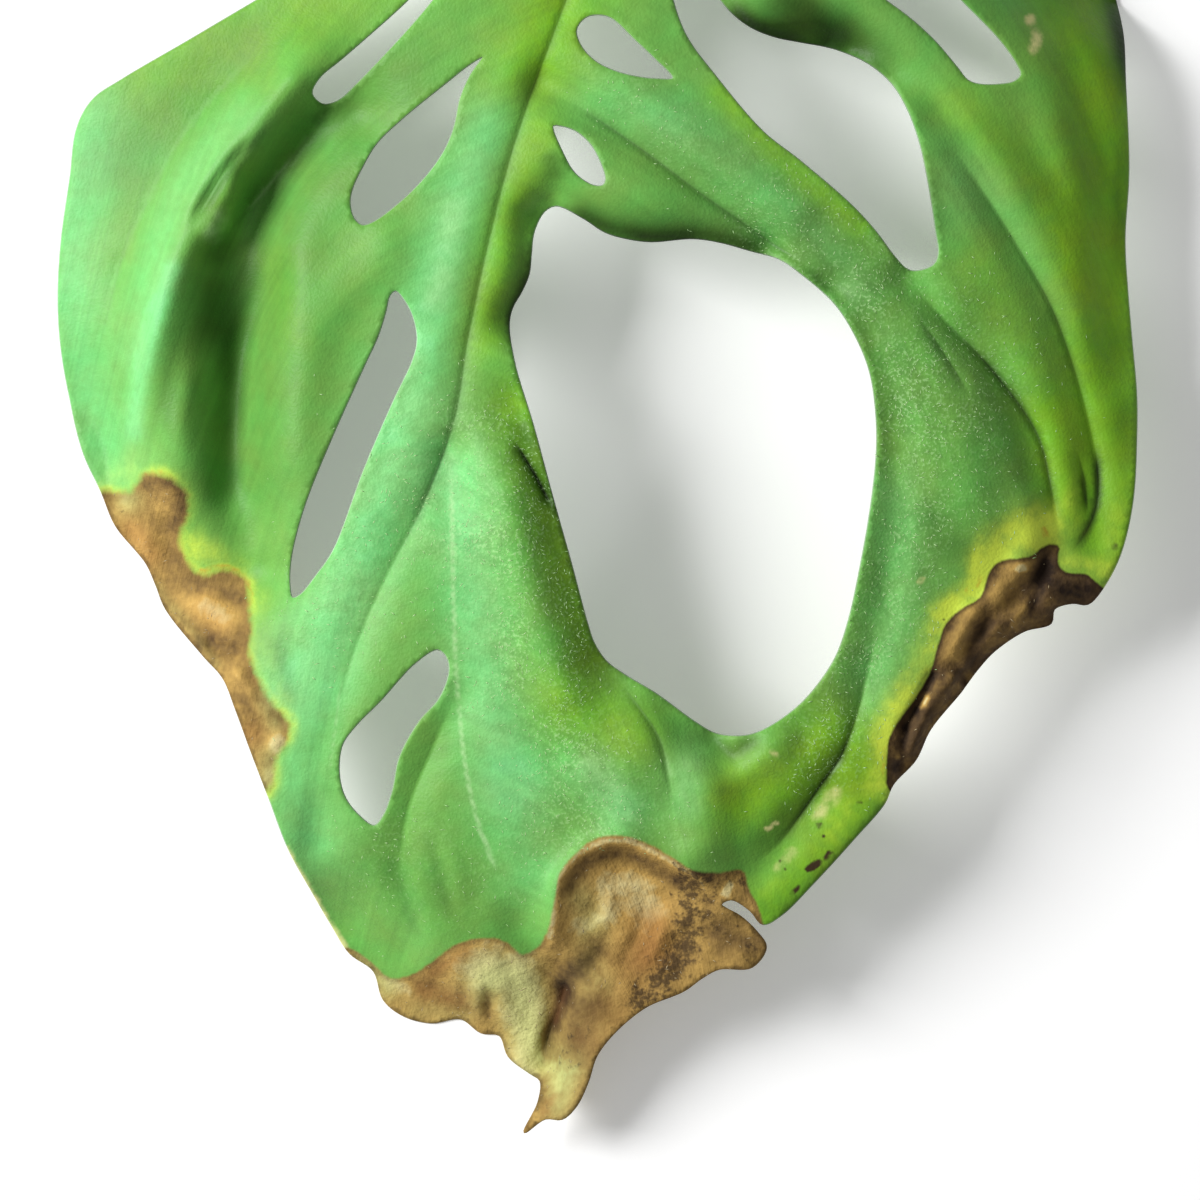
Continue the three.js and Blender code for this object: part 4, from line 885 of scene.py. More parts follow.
def linear(hex_colour: str) -> tuple[float, float, float, float]:
    """Turns an sRGB hex colour into the linear colour that a shader takes.

    Args:
        hex_colour: Colour such as "#5fae45".

    Returns:
        Linear red, green and blue, with full alpha.
    """
    parts = [int(hex_colour[i:i + 2], 16) / 255 for i in (1, 3, 5)]
    red, green, blue = (p / 12.92 if p <= 0.04045 else ((p + 0.055) / 1.055) ** 2.4 for p in parts)
    return red, green, blue, 1.0


def add_node(
    tree: bpy.types.NodeTree,
    kind: str,
    settings: Mapping[str, Any] | None = None,
    inputs: Mapping[str | int, Any] | None = None,
) -> bpy.types.Node:
    """Adds one node to a tree, with its settings and links.

    Args:
        tree: Shader or Geometry Nodes tree.
        kind: The node's type name.
        settings: Values of the node's own settings.
        inputs: For each input, the socket that it is linked from or its value.

    Returns:
        The new node.
    """
    node = tree.nodes.new(kind)
    for name, value in (settings or {}).items():
        setattr(node, name, value)
    for key, value in (inputs or {}).items():
        if isinstance(value, bpy.types.NodeSocket):
            tree.links.new(value, node.inputs[key])
        else:
            node.inputs[key].default_value = value
    return node


def new_material(name: str) -> tuple[bpy.types.Material, bpy.types.NodeTree]:
    """Makes a material with an empty node tree.

    Args:
        name: Name of the material.

    Returns:
        The material and its tree.
    """
    material = bpy.data.materials.new(name)
    material.use_nodes = True
    material.node_tree.nodes.clear()
    return material, material.node_tree


def show(tree: bpy.types.NodeTree, shader: bpy.types.Node) -> None:
    """Links a shader to the material's output."""
    add_node(tree, "ShaderNodeOutputMaterial", inputs={"Surface": shader.outputs[0]})


class LeafFace(Enum):
    """The two faces of the blade."""

    UPPER = 0
    LOWER = 1


@dataclass(frozen=True)
class LeafTissue:
    """Living and dried leaf tissue: a waxy cuticle over green cells, brown and papery where it died.

    The wax gives broad, soft highlights, the cells a fine grain, and the dry stretches
    are matt, crumpled and run from near black through tan to straw. A cool pale green is painted on as
    sheen where the blade faces the light, and dark greens as shade in its furrows and under its rolled edges.
    """

    face: LeafFace
    green: str = "#6ba849"
    # painted sheen, a cool pale green
    painted_sheen: str = "#78c876"
    lime: str = "#7ab124"
    # painted shade, dark green
    painted_shade: str = "#27450c"
    shade: str = "#122105"
    yellow: str = "#d2e64a"
    ember: str = "#c38628"
    # pale green of the fibres and veins, also laid as painted highlights
    pale: str = "#b4dc9c"
    scar: str = "#d8d48e"
    spot: str = "#3e2f1b"
    scorch: str = "#2f1e0e"
    rust: str = "#9c6634"
    speck: str = "#3c2d1d"
    dry_shades: tuple[str, ...] = ("#281b10", "#5a4529", "#967840", "#c09c54", "#d8c68a")
    olive_shades: tuple[str, ...] = ("#312b15", "#645a2e", "#90844a", "#b2b872", "#d0d48a")
    fibre_mm: tuple[float, float] = (0.9, 10.0)
    grain_mm: float = 0.3
    mottle_mm: float = 1.1
    cloud_mm: float = 5.0
    streak_mm: tuple[float, float] = (2.6, 16.0)
    crumple_mm: float = 2.4
    fine_crumple_mm: float = 0.6
    wax_roughness: float = 0.5
    paper_roughness: float = 0.8

    def material(self) -> bpy.types.Material:
        """Builds the material.

        Returns:
            The finished material.
        """
        upper = self.face is LeafFace.UPPER
        material, tree = new_material("waxy leaf, upper face" if upper else "matt leaf, lower face")
        marks = {
            name: add_node(tree, "ShaderNodeAttribute", {"attribute_name": name}).outputs["Fac"]
            for name in (*TINTS, "dry", "tone", "scorch", "edge")
        }
        noises = self._noises(tree)

        living = self._living(tree, marks, noises)
        ragged = add_node(tree, "ShaderNodeMath", {"operation": "MULTIPLY_ADD"}, {
            0: noises["mottle"], 1: 0.06, 2: marks["dry"],
        })
        dried = add_node(tree, "ShaderNodeMapRange", {"interpolation_type": "SMOOTHSTEP"}, {
            "Value": ragged.outputs[0], "From Min": -0.16, "From Max": 0.16,
        })
        dry = self._dried(tree, marks, noises, ragged.outputs[0])
        colour = add_node(tree, "ShaderNodeMix", {"data_type": "RGBA"}, {
            0: dried.outputs[0], 6: living, 7: dry,
        })
        roughness = add_node(tree, "ShaderNodeMapRange", None, {
            "Value": dried.outputs[0],
            "To Min": self.wax_roughness if upper else 0.62,
            "To Max": self.paper_roughness,
        })
        shader = add_node(tree, "ShaderNodeBsdfPrincipled", None, {
            "Base Color": colour.outputs[2],
            "Roughness": roughness.outputs[0],
            "IOR": 1.42,
            "Specular IOR Level": 0.3,
            "Normal": self._bump(tree, noises, dried.outputs[0]),
        })
        show(tree, shader)
        return material

    def _noises(self, tree: bpy.types.NodeTree) -> dict[str, bpy.types.NodeSocket]:
        """Makes the random patterns, each at its size in millimetres.

        Args:
            tree: The material's tree.

        Returns:
            The patterns' sockets by name, each from -1 to 1.
        """
        place = add_node(tree, "ShaderNodeTexCoord")
        in_mm = add_node(tree, "ShaderNodeMapping", None, {
            "Vector": place.outputs["Object"], "Scale": (1 / MM, 1 / MM, 1 / MM),
        })
        flow = add_node(tree, "ShaderNodeAttribute", {"attribute_name": "flow"})
        noises = {}
        for name, vector, size, detail in (
            ("grain", in_mm.outputs[0], (self.grain_mm,) * 3, 1.0),
            ("mottle", in_mm.outputs[0], (self.mottle_mm,) * 3, 3.0),
            ("cloud", in_mm.outputs[0], (self.cloud_mm,) * 3, 3.0),
            ("crumple", in_mm.outputs[0], (self.crumple_mm,) * 3, 2.0),
            ("fine crumple", in_mm.outputs[0], (self.fine_crumple_mm,) * 3, 2.0),
            ("streak", flow.outputs["Vector"], (*self.streak_mm, 1.0), 2.0),
            ("fibre", flow.outputs["Vector"], (*self.fibre_mm, 1.0), 2.0),
        ):
            sized = add_node(tree, "ShaderNodeMapping", None, {
                "Vector": vector, "Scale": [1 / part for part in size],
            })
            noise = add_node(tree, "ShaderNodeTexNoise", None, {
                "Vector": sized.outputs[0], "Scale": 1.0, "Detail": detail,
            })
            evened = add_node(tree, "ShaderNodeMapRange", None, {
                "Value": noise.outputs[0], "From Min": 0.3, "From Max": 0.7, "To Min": -1.0,
            })
            noises[name] = evened.outputs[0]
        return noises

    def _living(
        self,
        tree: bpy.types.NodeTree,
        marks: Mapping[str, bpy.types.NodeSocket],
        noises: Mapping[str, bpy.types.NodeSocket],
    ) -> bpy.types.NodeSocket:
        """Colours the living tissue: greens by place with painted sheen and shade, veins, yellowing, scars and
        spots.

        Args:
            tree: The material's tree.
            marks: The blade's attributes.
            noises: The random patterns.

        Returns:
            The colour.
        """
        colour: Any = linear(self.green)
        # the pale green laid here is painted sheen, and the dark greens are painted shade
        for name, blotch in (("painted_sheen", 0.12), ("lime", 0.12), ("painted_shade", 0.0), ("shade", 0.0)):
            share = add_node(tree, "ShaderNodeMath", {"operation": "MULTIPLY_ADD"}, {
                0: noises["mottle"], 1: blotch, 2: 1.0,
            })
            share = add_node(tree, "ShaderNodeMath", {"operation": "MULTIPLY"}, {
                0: marks[name], 1: share.outputs[0],
            })
            colour = add_node(tree, "ShaderNodeMix", {"data_type": "RGBA"}, {
                0: share.outputs[0], 6: colour, 7: linear(getattr(self, name)),
            }).outputs[2]
        value: Any = 1.0
        for name, everywhere, scaly in (
            ("streak", 0.05, 0.0), ("fibre", 0.05, 0.02), ("cloud", 0.06, 0.04), ("mottle", 0.045, 0.12),
            ("grain", 0.015, 0.1),
        ):
            weight = add_node(tree, "ShaderNodeMath", {"operation": "MULTIPLY_ADD"}, {
                0: marks["fleck"], 1: scaly, 2: everywhere,
            })
            value = add_node(tree, "ShaderNodeMath", {"operation": "MULTIPLY_ADD"}, {
                0: noises[name], 1: weight.outputs[0], 2: value,
            }).outputs[0]
        hue = add_node(tree, "ShaderNodeMath", {"operation": "MULTIPLY_ADD"}, {
            0: noises["cloud"], 1: 0.012, 2: 0.5,
        })
        colour = add_node(tree, "ShaderNodeHueSaturation", None, {
            "Hue": hue.outputs[0],
            "Saturation": 1.0 if self.face is LeafFace.UPPER else 0.55,
            "Value": value,
            "Color": colour,
        }).outputs[0]
        bristles = add_node(tree, "ShaderNodeMapRange", {"interpolation_type": "SMOOTHSTEP"}, {
            "Value": noises["grain"], "From Min": 0.2, "From Max": 0.9, "To Max": 0.45,
        })
        fuzz = add_node(tree, "ShaderNodeMath", {"operation": "MULTIPLY"}, {
            0: bristles.outputs[0], 1: marks["fleck"],
        })
        colour = add_node(tree, "ShaderNodeMix", {"data_type": "RGBA"}, {
            0: fuzz.outputs[0], 6: colour, 7: linear(self.pale),
        }).outputs[2]
        patchy = add_node(tree, "ShaderNodeMath", {"operation": "MULTIPLY_ADD"}, {
            0: noises["mottle"], 1: 0.25, 2: 1.0,
        })
        for name, low, high, strength in (
            ("pale", 0.1, 0.7, 0.5), ("yellow", 0.0, 1.1, 0.9), ("ember", 0.2, 0.9, 0.8),
            ("scar", 0.3, 0.9, 0.9), ("spot", 0.3, 0.7, 1.0),
        ):
            ragged = add_node(tree, "ShaderNodeMath", {"operation": "MULTIPLY"}, {
                0: marks[name], 1: patchy.outputs[0],
            })
            mask = add_node(tree, "ShaderNodeMapRange", {"interpolation_type": "SMOOTHSTEP"}, {
                "Value": ragged.outputs[0], "From Min": low, "From Max": high, "To Max": strength,
            })
            colour = add_node(tree, "ShaderNodeMix", {"data_type": "RGBA"}, {
                0: mask.outputs[0], 6: colour, 7: linear(getattr(self, name)),
            }).outputs[2]
        return colour

    def _dried(
        self,
        tree: bpy.types.NodeTree,
        marks: Mapping[str, bpy.types.NodeSocket],
        noises: Mapping[str, bpy.types.NodeSocket],
        border: bpy.types.NodeSocket,
    ) -> bpy.types.NodeSocket:
        """Colours the dried tissue by its tone, which holds painted light and shade over its folds, with a scorched
        line along its border.

        Args:
            tree: The material's tree.
            marks: The blade's attributes.
            noises: The random patterns.
            border: Distance inside the dry zone's ragged border, in millimetres.

        Returns:
            The colour.
        """
        tone: Any = marks["tone"]
        for name, weight in (("crumple", 0.1), ("fibre", 0.02), ("fine crumple", 0.04)):
            tone = add_node(tree, "ShaderNodeMath", {"operation": "MULTIPLY_ADD"}, {
                0: noises[name], 1: weight, 2: tone,
            }).outputs[0]
        browns = []
        for shades in (self.dry_shades, self.olive_shades):
            colour: Any = linear(shades[0])
            step = 1 / (len(shades) - 1)
            for i, shade in enumerate(shades[1:]):
                mask = add_node(tree, "ShaderNodeMapRange", None, {
                    "Value": tone, "From Min": i * step, "From Max": (i + 1) * step,
                })
                colour = add_node(tree, "ShaderNodeMix", {"data_type": "RGBA"}, {
                    0: mask.outputs[0], 6: colour, 7: linear(shade),
                }).outputs[2]
            browns.append(colour)
        colour = add_node(tree, "ShaderNodeMix", {"data_type": "RGBA"}, {
            0: marks["olive"], 6: browns[0], 7: browns[1],
        }).outputs[2]
        colour = add_node(tree, "ShaderNodeMix", {"data_type": "RGBA"}, {
            0: marks["rust"], 6: colour, 7: linear(self.rust),
        }).outputs[2]
        rough: Any = 0.0
        for socket, weight in (
            (marks["speck"], 1.2), (noises["mottle"], 0.5), (noises["fine crumple"], 0.36), (noises["grain"], 0.12),
        ):
            rough = add_node(tree, "ShaderNodeMath", {"operation": "MULTIPLY_ADD"}, {
                0: socket, 1: weight, 2: rough,
            }).outputs[0]
        specks = add_node(tree, "ShaderNodeMapRange", {"interpolation_type": "SMOOTHSTEP"}, {
            "Value": rough, "From Min": 0.4, "From Max": 1.4, "To Max": 0.85,
        })
        colour = add_node(tree, "ShaderNodeMix", {"data_type": "RGBA"}, {
            0: specks.outputs[0], 6: colour, 7: linear(self.speck),
        }).outputs[2]
        frayed = add_node(tree, "ShaderNodeMath", {"operation": "MULTIPLY_ADD"}, {
            0: noises["mottle"], 1: 0.25, 2: marks["edge"],
        })
        burnt = add_node(tree, "ShaderNodeMapRange", {"interpolation_type": "SMOOTHSTEP"}, {
            "Value": frayed.outputs[0], "From Min": -0.1, "From Max": 0.4, "To Min": 0.5, "To Max": 0.0,
        })
        colour = add_node(tree, "ShaderNodeMix", {"data_type": "RGBA"}, {
            0: burnt.outputs[0], 6: colour, 7: linear(self.scorch),
        }).outputs[2]
        line = add_node(tree, "ShaderNodeMapRange", {"interpolation_type": "SMOOTHSTEP"}, {
            "Value": border, "From Min": 0.1, "From Max": 0.6, "To Min": marks["scorch"], "To Max": 0.0,
        })
        return add_node(tree, "ShaderNodeMix", {"data_type": "RGBA"}, {
            0: line.outputs[0], 6: colour, 7: linear(self.scorch),
        }).outputs[2]

    def _bump(
        self,
        tree: bpy.types.NodeTree,
        noises: Mapping[str, bpy.types.NodeSocket],
        dried: bpy.types.NodeSocket,
    ) -> bpy.types.NodeSocket:
        """Raises the cells' grain, and the crumples and lengthwise fibres of the dry tissue.

        Args:
            tree: The material's tree.
            noises: The random patterns.
            dried: Share of dry tissue.

        Returns:
            The normal.
        """
        normal = add_node(tree, "ShaderNodeBump", None, {
            "Strength": 0.3, "Distance": 0.03 * MM, "Height": noises["grain"],
        }).outputs[0]
        for name, height in (("crumple", 0.05), ("fine crumple", 0.013), ("fibre", 0.012)):
            normal = add_node(tree, "ShaderNodeBump", None, {
                "Strength": dried, "Distance": height * MM, "Height": noises[name], "Normal": normal,
            }).outputs[0]
        return normal


@dataclass(frozen=True)
class StalkSkin:
    """Smooth green skin of the stalk and the ribs, with fine lengthwise streaks and a pale cut end.

    The skin is waxy like the blade but rounder and more even, so it takes one long highlight.
    """

    green: str = "#77a34f"
    pale: str = "#9fbf74"
    cut: str = "#bdb684"
    streak_mm: tuple[float, float] = (0.5, 14.0)
    roughness: float = 0.48

    def material(self, cut_at: float) -> bpy.types.Material:
        """Builds the material.

        Args:
            cut_at: Place of the cut end along +Y, in metres.

        Returns:
            The finished material.
        """
        material, tree = new_material("waxy stalk skin")
        place = add_node(tree, "ShaderNodeTexCoord")
        across, along = self.streak_mm
        stretched = add_node(tree, "ShaderNodeMapping", None, {
            "Vector": place.outputs["Object"],
            "Scale": (1 / (across * MM), 1 / (along * MM), 1 / (across * MM)),
        })
        streaks = add_node(tree, "ShaderNodeTexNoise", None, {
            "Vector": stretched.outputs[0], "Scale": 1.0, "Detail": 3.0,
        })
        skin = add_node(tree, "ShaderNodeMix", {"data_type": "RGBA"}, {
            0: streaks.outputs[0], 6: linear(self.green), 7: linear(self.pale),
        })
        parts = add_node(tree, "ShaderNodeSeparateXYZ", None, {0: place.outputs["Object"]})
        end = add_node(tree, "ShaderNodeMapRange", {"interpolation_type": "SMOOTHSTEP"}, {
            "Value": parts.outputs["Y"], "From Min": cut_at - 0.6 * MM, "From Max": cut_at - 0.1 * MM,
        })
        colour = add_node(tree, "ShaderNodeMix", {"data_type": "RGBA"}, {
            0: end.outputs[0], 6: skin.outputs[2], 7: linear(self.cut),
        })
        bump = add_node(tree, "ShaderNodeBump", None, {
            "Strength": 0.4, "Distance": 0.1 * MM, "Height": streaks.outputs[0],
        })
        shader = add_node(tree, "ShaderNodeBsdfPrincipled", None, {
            "Base Color": colour.outputs[2],
            "Roughness": self.roughness,
            "IOR": 1.42,
            "Specular IOR Level": 0.4,
            "Normal": bump.outputs[0],
        })
        show(tree, shader)
        return material


@dataclass(frozen=True)
class FleckFibre:
    """Pale scales and loose fibres on the wax, which read as fine light flecks."""

    name: str
    pale: str
    dull: str
    patch_mm: float = 3.0
    roughness: float = 0.7

    def material(self) -> bpy.types.Material:
        """Builds the material.

        Returns:
            The finished material.
        """
        material, tree = new_material(self.name)
        place = add_node(tree, "ShaderNodeTexCoord")
        patches = add_node(tree, "ShaderNodeTexNoise", None, {
            "Vector": place.outputs["Object"], "Scale": 1 / (self.patch_mm * MM), "Detail": 2.0,
        })
        colour = add_node(tree, "ShaderNodeMix", {"data_type": "RGBA"}, {
            0: patches.outputs[0], 6: linear(self.dull), 7: linear(self.pale),
        })
        shader = add_node(tree, "ShaderNodeBsdfPrincipled", None, {
            "Base Color": colour.outputs[2], "Roughness": self.roughness,
        })
        show(tree, shader)
        return material


@dataclass(frozen=True)
class MattPaper:
    """White matt paper with a barely visible tooth, whose faint even glow keeps the shadows on it pale."""

    white: str = "#f8f8f8"
    glow: float = 0.2
    tooth_mm: float = 0.4

    def material(self) -> bpy.types.Material:
        """Builds the material.

        Returns:
            The finished material.
        """
        material, tree = new_material("matt white paper")
        place = add_node(tree, "ShaderNodeTexCoord")
        tooth = add_node(tree, "ShaderNodeTexNoise", None, {
            "Vector": place.outputs["Object"], "Scale": 1 / (self.tooth_mm * MM),
        })
        bump = add_node(tree, "ShaderNodeBump", None, {
            "Strength": 0.05, "Distance": 0.02 * MM, "Height": tooth.outputs[0],
        })
        shader = add_node(tree, "ShaderNodeBsdfPrincipled", None, {
            "Base Color": linear(self.white),
            "Roughness": 0.95,
            "Specular IOR Level": 0.1,
            "Emission Color": (1.0, 1.0, 1.0, 1.0),
            "Emission Strength": self.glow,
            "Normal": bump.outputs[0],
        })
        show(tree, shader)
        return material


@dataclass(frozen=True)
class Dome:
    """The blade's broad arch over the surface, in millimetres.

    Attributes:
        crown: Height of the underside at the crest.
        crest: Place of the crest in plan.
        left: Drop of the arch towards the left, and the span that it drops over.
        right: The same towards the right.
        tip: The same towards the tip.
        base: The same towards the stalk.
    """

    crown: float = 15.0
    crest: Point = (8.0, 15.0)
    left: Point = (12.0, 62.0)
    right: Point = (6.0, 46.0)
    tip: Point = (9.0, 68.0)
    base: Point = (3.0, 60.0)

    def height(self, spots: np.ndarray) -> np.ndarray:
        """Gives the arch's height at each spot.

        Args:
            spots: Places in plan, one row each.

        Returns:
            The heights.
        """
        over, up = (spots - self.crest).T
        across = np.where(over < 0, self.left[0] * (over / self.left[1]) ** 2, self.right[0] * (over / self.right[1]) ** 2)
        along = np.where(up < 0, self.tip[0] * (up / self.tip[1]) ** 2, self.base[0] * (up / self.base[1]) ** 2)
        return self.crown - across - along


@dataclass
class LeafBlade:
    """The blade: a thin waved sheet with holes, a rolled rim and dry, crumpled stretches.

    Attributes:
        shift: Step from the drawing to the part's frame, in millimetres.
        cell: Spacing of the mesh's points.
        edge: Spacing of the points along the rim and the creases.
        crease_side: Distance of the points on either side of a crease.
        thickness: Thickness of the living blade.
        dry_thickness: Thickness of the dried tissue.
        bulge: How far the rim's middle stands out.
        crumple: Height of the dry tissue's crumples.
        sway: Height of the slow unevenness all over.
    """

    shift: np.ndarray
    dome: Dome = field(default_factory=Dome)
    cell: float = 0.48
    edge: float = 0.45
    crease_side: float = 0.22
    thickness: float = 0.45
    dry_thickness: float = 0.3
    bulge: float = 0.1
    crumple: float = 0.35
    sway: float = 0.14

    def dryness(self, spots: np.ndarray) -> dict[str, np.ndarray]:
        """Measures where the tissue is dry, how dark it is and how far it has yellowed around.

        Args:
            spots: Places on the drawing, one row each.

        Returns:
            The attributes dry (millimetres inside a dry zone, over its softness), tone, scorch and halo.
        """
        deepest = np.full(len(spots), -np.inf)
        dry, tone, scorch, halo = (np.zeros(len(spots)) for _ in range(4))
        for zone in DRY_ZONES.values():
            border = smooth_line(zone.border, 1.0, closed=True)
            depth, _ = along_line(spots, np.vstack([border, border[:1]]))
            depth = np.where(inside(spots, [border]), depth, -depth)
            nearer = depth > deepest
            deepest = np.where(nearer, depth, deepest)
            dry = np.where(nearer, depth / zone.soft, dry)
            tone = np.where(nearer, zone.tone, tone)
            scorch = np.where(nearer, zone.scorch, scorch)
            if zone.halo:
                halo = np.maximum(halo, 0.65 * np.exp(-np.square(np.minimum(depth, 0.0) / zone.halo)))
        return {"dry": dry, "tone": tone + strokes_at(spots, DRY_TONES), "scorch": scorch, "halo": halo}

    def survey(self, spots: np.ndarray) -> dict[str, np.ndarray]:
        """Measures the blade at each spot.

        Args:
            spots: Places on the drawing, one row each.

        Returns:
            What dryness gives, the share of withered tissue, and the heights of the lower and upper face.
            No height is under the surface that the leaf lies on.
        """
        found = self.dryness(spots)
        withered = eased(found["dry"], -0.4, 1.6)
        lower = self.dome.height(spots)
        for strokes in (FOLDS, CREASES, VALLEYS, FINE_FOLDS):
            lower += strokes_at(spots, strokes, 1.0)
        lower += self.sway * ruffle(spots, 5.0, 1) + 0.4 * self.sway * ruffle(spots, 2.2, 2)
        lower += self.crumple * withered * (ruffle(spots, 2.8, 3) + 0.4 * ruffle(spots, 1.3, 4))
        lower = np.maximum(lower, 0.0)
        upper = lower + self.thickness + (self.dry_thickness - self.thickness) * withered
        return {**found, "withered": withered, "lower": lower, "upper": upper}

    def flow(self, spots: np.ndarray) -> np.ndarray:
        """Gives each spot's place along the midrib and out along the side veins.

        The side veins leave the midrib at a slant and turn towards the tip as they near the margin, the
        sooner the narrower the blade is there.

        Args:
            spots: Places on the drawing, one row each.

        Returns:
            For each spot, where its vein leaves the midrib, and its distance out from the midrib.
        """
        rib = smooth_line(MIDRIB, 1.0)[::-1]
        x, y = spots.T
        low, high = y.copy(), y + 300.0
        for _ in range(30):
            start = (low + high) / 2
            out = x - np.interp(start, rib[:, 1], rib[:, 0])
            left = np.clip(14.0 + 0.55 * (start - 14.0), 10.0, 50.0)
            right = np.interp(start, (-40.0, 20.0, 51.5, 66.0, 80.0), (14.0, 25.0, 36.0, 52.0, 56.0))
            width = np.where(out < 0, left, right)
            share = np.abs(out) / width
            reached = start - width * (0.45 * share + 0.8 * share**4)
            low, high = np.where(reached < y, start, low), np.where(reached < y, high, start)
        return np.column_stack([start, out, np.zeros(len(spots))])

    def plan(self) -> tuple[np.ndarray, np.ndarray]:
        """Covers the blade's outline with small triangles.

        Returns:
            The points on the drawing and the triangles, turning anticlockwise.
        """
        loops = [smooth_line(line, self.edge, closed=True) for line in (MARGIN, *HOLES.values())]
        points, edges = [], []
        for loop in loops:
            first = len(points)
            points.extend(loop)
            edges.extend((first + i, first + (i + 1) % len(loop)) for i in range(len(loop)))
        rim = KDTree(len(points))
        for i, (x, y) in enumerate(points):
            rim.insert((x, y, 0.0), i)
        rim.balance()

        for crease in (*CREASES, *VALLEYS):
            line = smooth_line(crease.line, self.edge)
            kept = inside(line, loops)
            kept &= np.array([rim.find((x, y, 0.0))[2] > 0.6 * self.cell for x, y in line])
            numbers = np.where(kept, len(points) + np.cumsum(kept) - 1, -1)
            points.extend(line[kept])
            edges.extend((a, b) for a, b in zip(numbers[:-1], numbers[1:]) if a >= 0 and b >= 0)
        points.extend(self._crease_sides(points, loops))

        taken = KDTree(len(points))
        for i, (x, y) in enumerate(points):
            taken.insert((x, y, 0.0), i)
        taken.balance()
        low, high = loops[0].min(axis=0), loops[0].max(axis=0)
        rows = np.arange(low[1], high[1], self.cell * np.sqrt(0.75))
        columns = np.arange(low[0], high[0], self.cell)
        grid = np.array([(x + (r % 2) * self.cell / 2, y) for r, y in enumerate(rows) for x in columns])
        grid = grid[inside(grid, loops)]
        clear = np.array([taken.find((x, y, 0.0))[2] > 0.6 * self.cell for x, y in grid])
        points.extend(grid[clear])

        spread = delaunay_2d_cdt(
            [Vector((float(x), float(y))) for x, y in points], [(int(a), int(b)) for a, b in edges], [], 0, 1e-6,
        )
        spots = np.array([tuple(p) for p in spread[0]])
        triangles = np.array([f for f in spread[2] if len(f) == 3])
        triangles = triangles[inside(spots[triangles].mean(axis=1), loops)]
        used, triangles = np.unique(triangles, return_inverse=True)
        spots, triangles = spots[used], triangles.reshape(-1, 3)
        ab, ac = (spots[triangles[:, i]] - spots[triangles[:, 0]] for i in (1, 2))
        turned = ab[:, 0] * ac[:, 1] < ab[:, 1] * ac[:, 0]
        triangles[turned] = triangles[turned][:, ::-1]
        return spots, triangles

    def _crease_sides(self, points: Sequence[Sequence[float]], loops: Sequence[np.ndarray]) -> np.ndarray:
        """Places points on both sides of each crease, so that its bottom stays narrow.

        Args:
            points: Points that are there already.
            loops: The margin and the holes.

        Returns:
            The new points, none of them close to one that is there already.
        """
        taken = KDTree(len(points))
        for i, (x, y) in enumerate(points):
            taken.insert((x, y, 0.0), i)
        taken.balance()
        sides = []
        for crease in CREASES:
            line = smooth_line(crease.line, self.edge)
            run = np.gradient(line, axis=0)
            across = np.column_stack([-run[:, 1], run[:, 0]]) / np.linalg.norm(run, axis=1)[:, None]
            sides += [line + self.crease_side * across, line - self.crease_side * across]
        beside = np.vstack(sides)
        beside = beside[inside(beside, loops)]
        clear = [taken.find((x, y, 0.0))[2] > 0.8 * self.crease_side for x, y in beside]
        return beside[clear]

    def build(self) -> bpy.types.Object:
        """Builds the blade's mesh with the attributes that its material reads.

        Returns:
            The blade, without its materials.
        """
        spots, triangles = self.plan()
        found = self.survey(spots)
        lower, upper, withered, halo = (found.pop(name) for name in ("lower", "upper", "withered", "halo"))

        sides = np.vstack([triangles[:, [0, 1]], triangles[:, [1, 2]], triangles[:, [2, 0]]])
        key = np.sort(sides, axis=1) @ (len(spots), 1)
        _, first, count = np.unique(key, return_index=True, return_counts=True)
        rim = sides[first[count == 1]]
        run = spots[rim[:, 1]] - spots[rim[:, 0]]
        outward = np.zeros_like(spots)
        for end in (0, 1):
            np.add.at(outward, rim[:, end], np.column_stack([run[:, 1], -run[:, 0]]))
        edge = np.unique(rim)
        outward = outward[edge] / np.linalg.norm(outward[edge], axis=1)[:, None]
        middle = np.column_stack([spots[edge] + self.bulge * outward, (lower[edge] + upper[edge]) / 2])

        count = len(spots)
        waist = np.zeros(count, dtype=int)
        waist[edge] = 2 * count + np.arange(len(edge))
        a, b = rim.T
        walls = np.vstack([
            np.column_stack([count + a, count + b, waist[b], waist[a]]),
            np.column_stack([waist[a], waist[b], b, a]),
        ])
        places = np.vstack([np.column_stack([spots, upper]), np.column_stack([spots, lower]), middle])
        places[:, :2] += self.shift
        mesh = bpy.data.meshes.new("leaf_blade")
        mesh.from_pydata(
            (places * MM).tolist(), [],
            triangles.tolist() + (count + triangles[:, ::-1]).tolist() + walls.tolist(),
        )
        mesh.polygons.foreach_set("use_smooth", np.ones(len(mesh.polygons), dtype=bool))
        face = np.repeat(
            [LeafFace.UPPER.value, LeafFace.LOWER.value], [len(triangles), len(triangles) + len(walls)],
        )
        mesh.polygons.foreach_set("material_index", face)

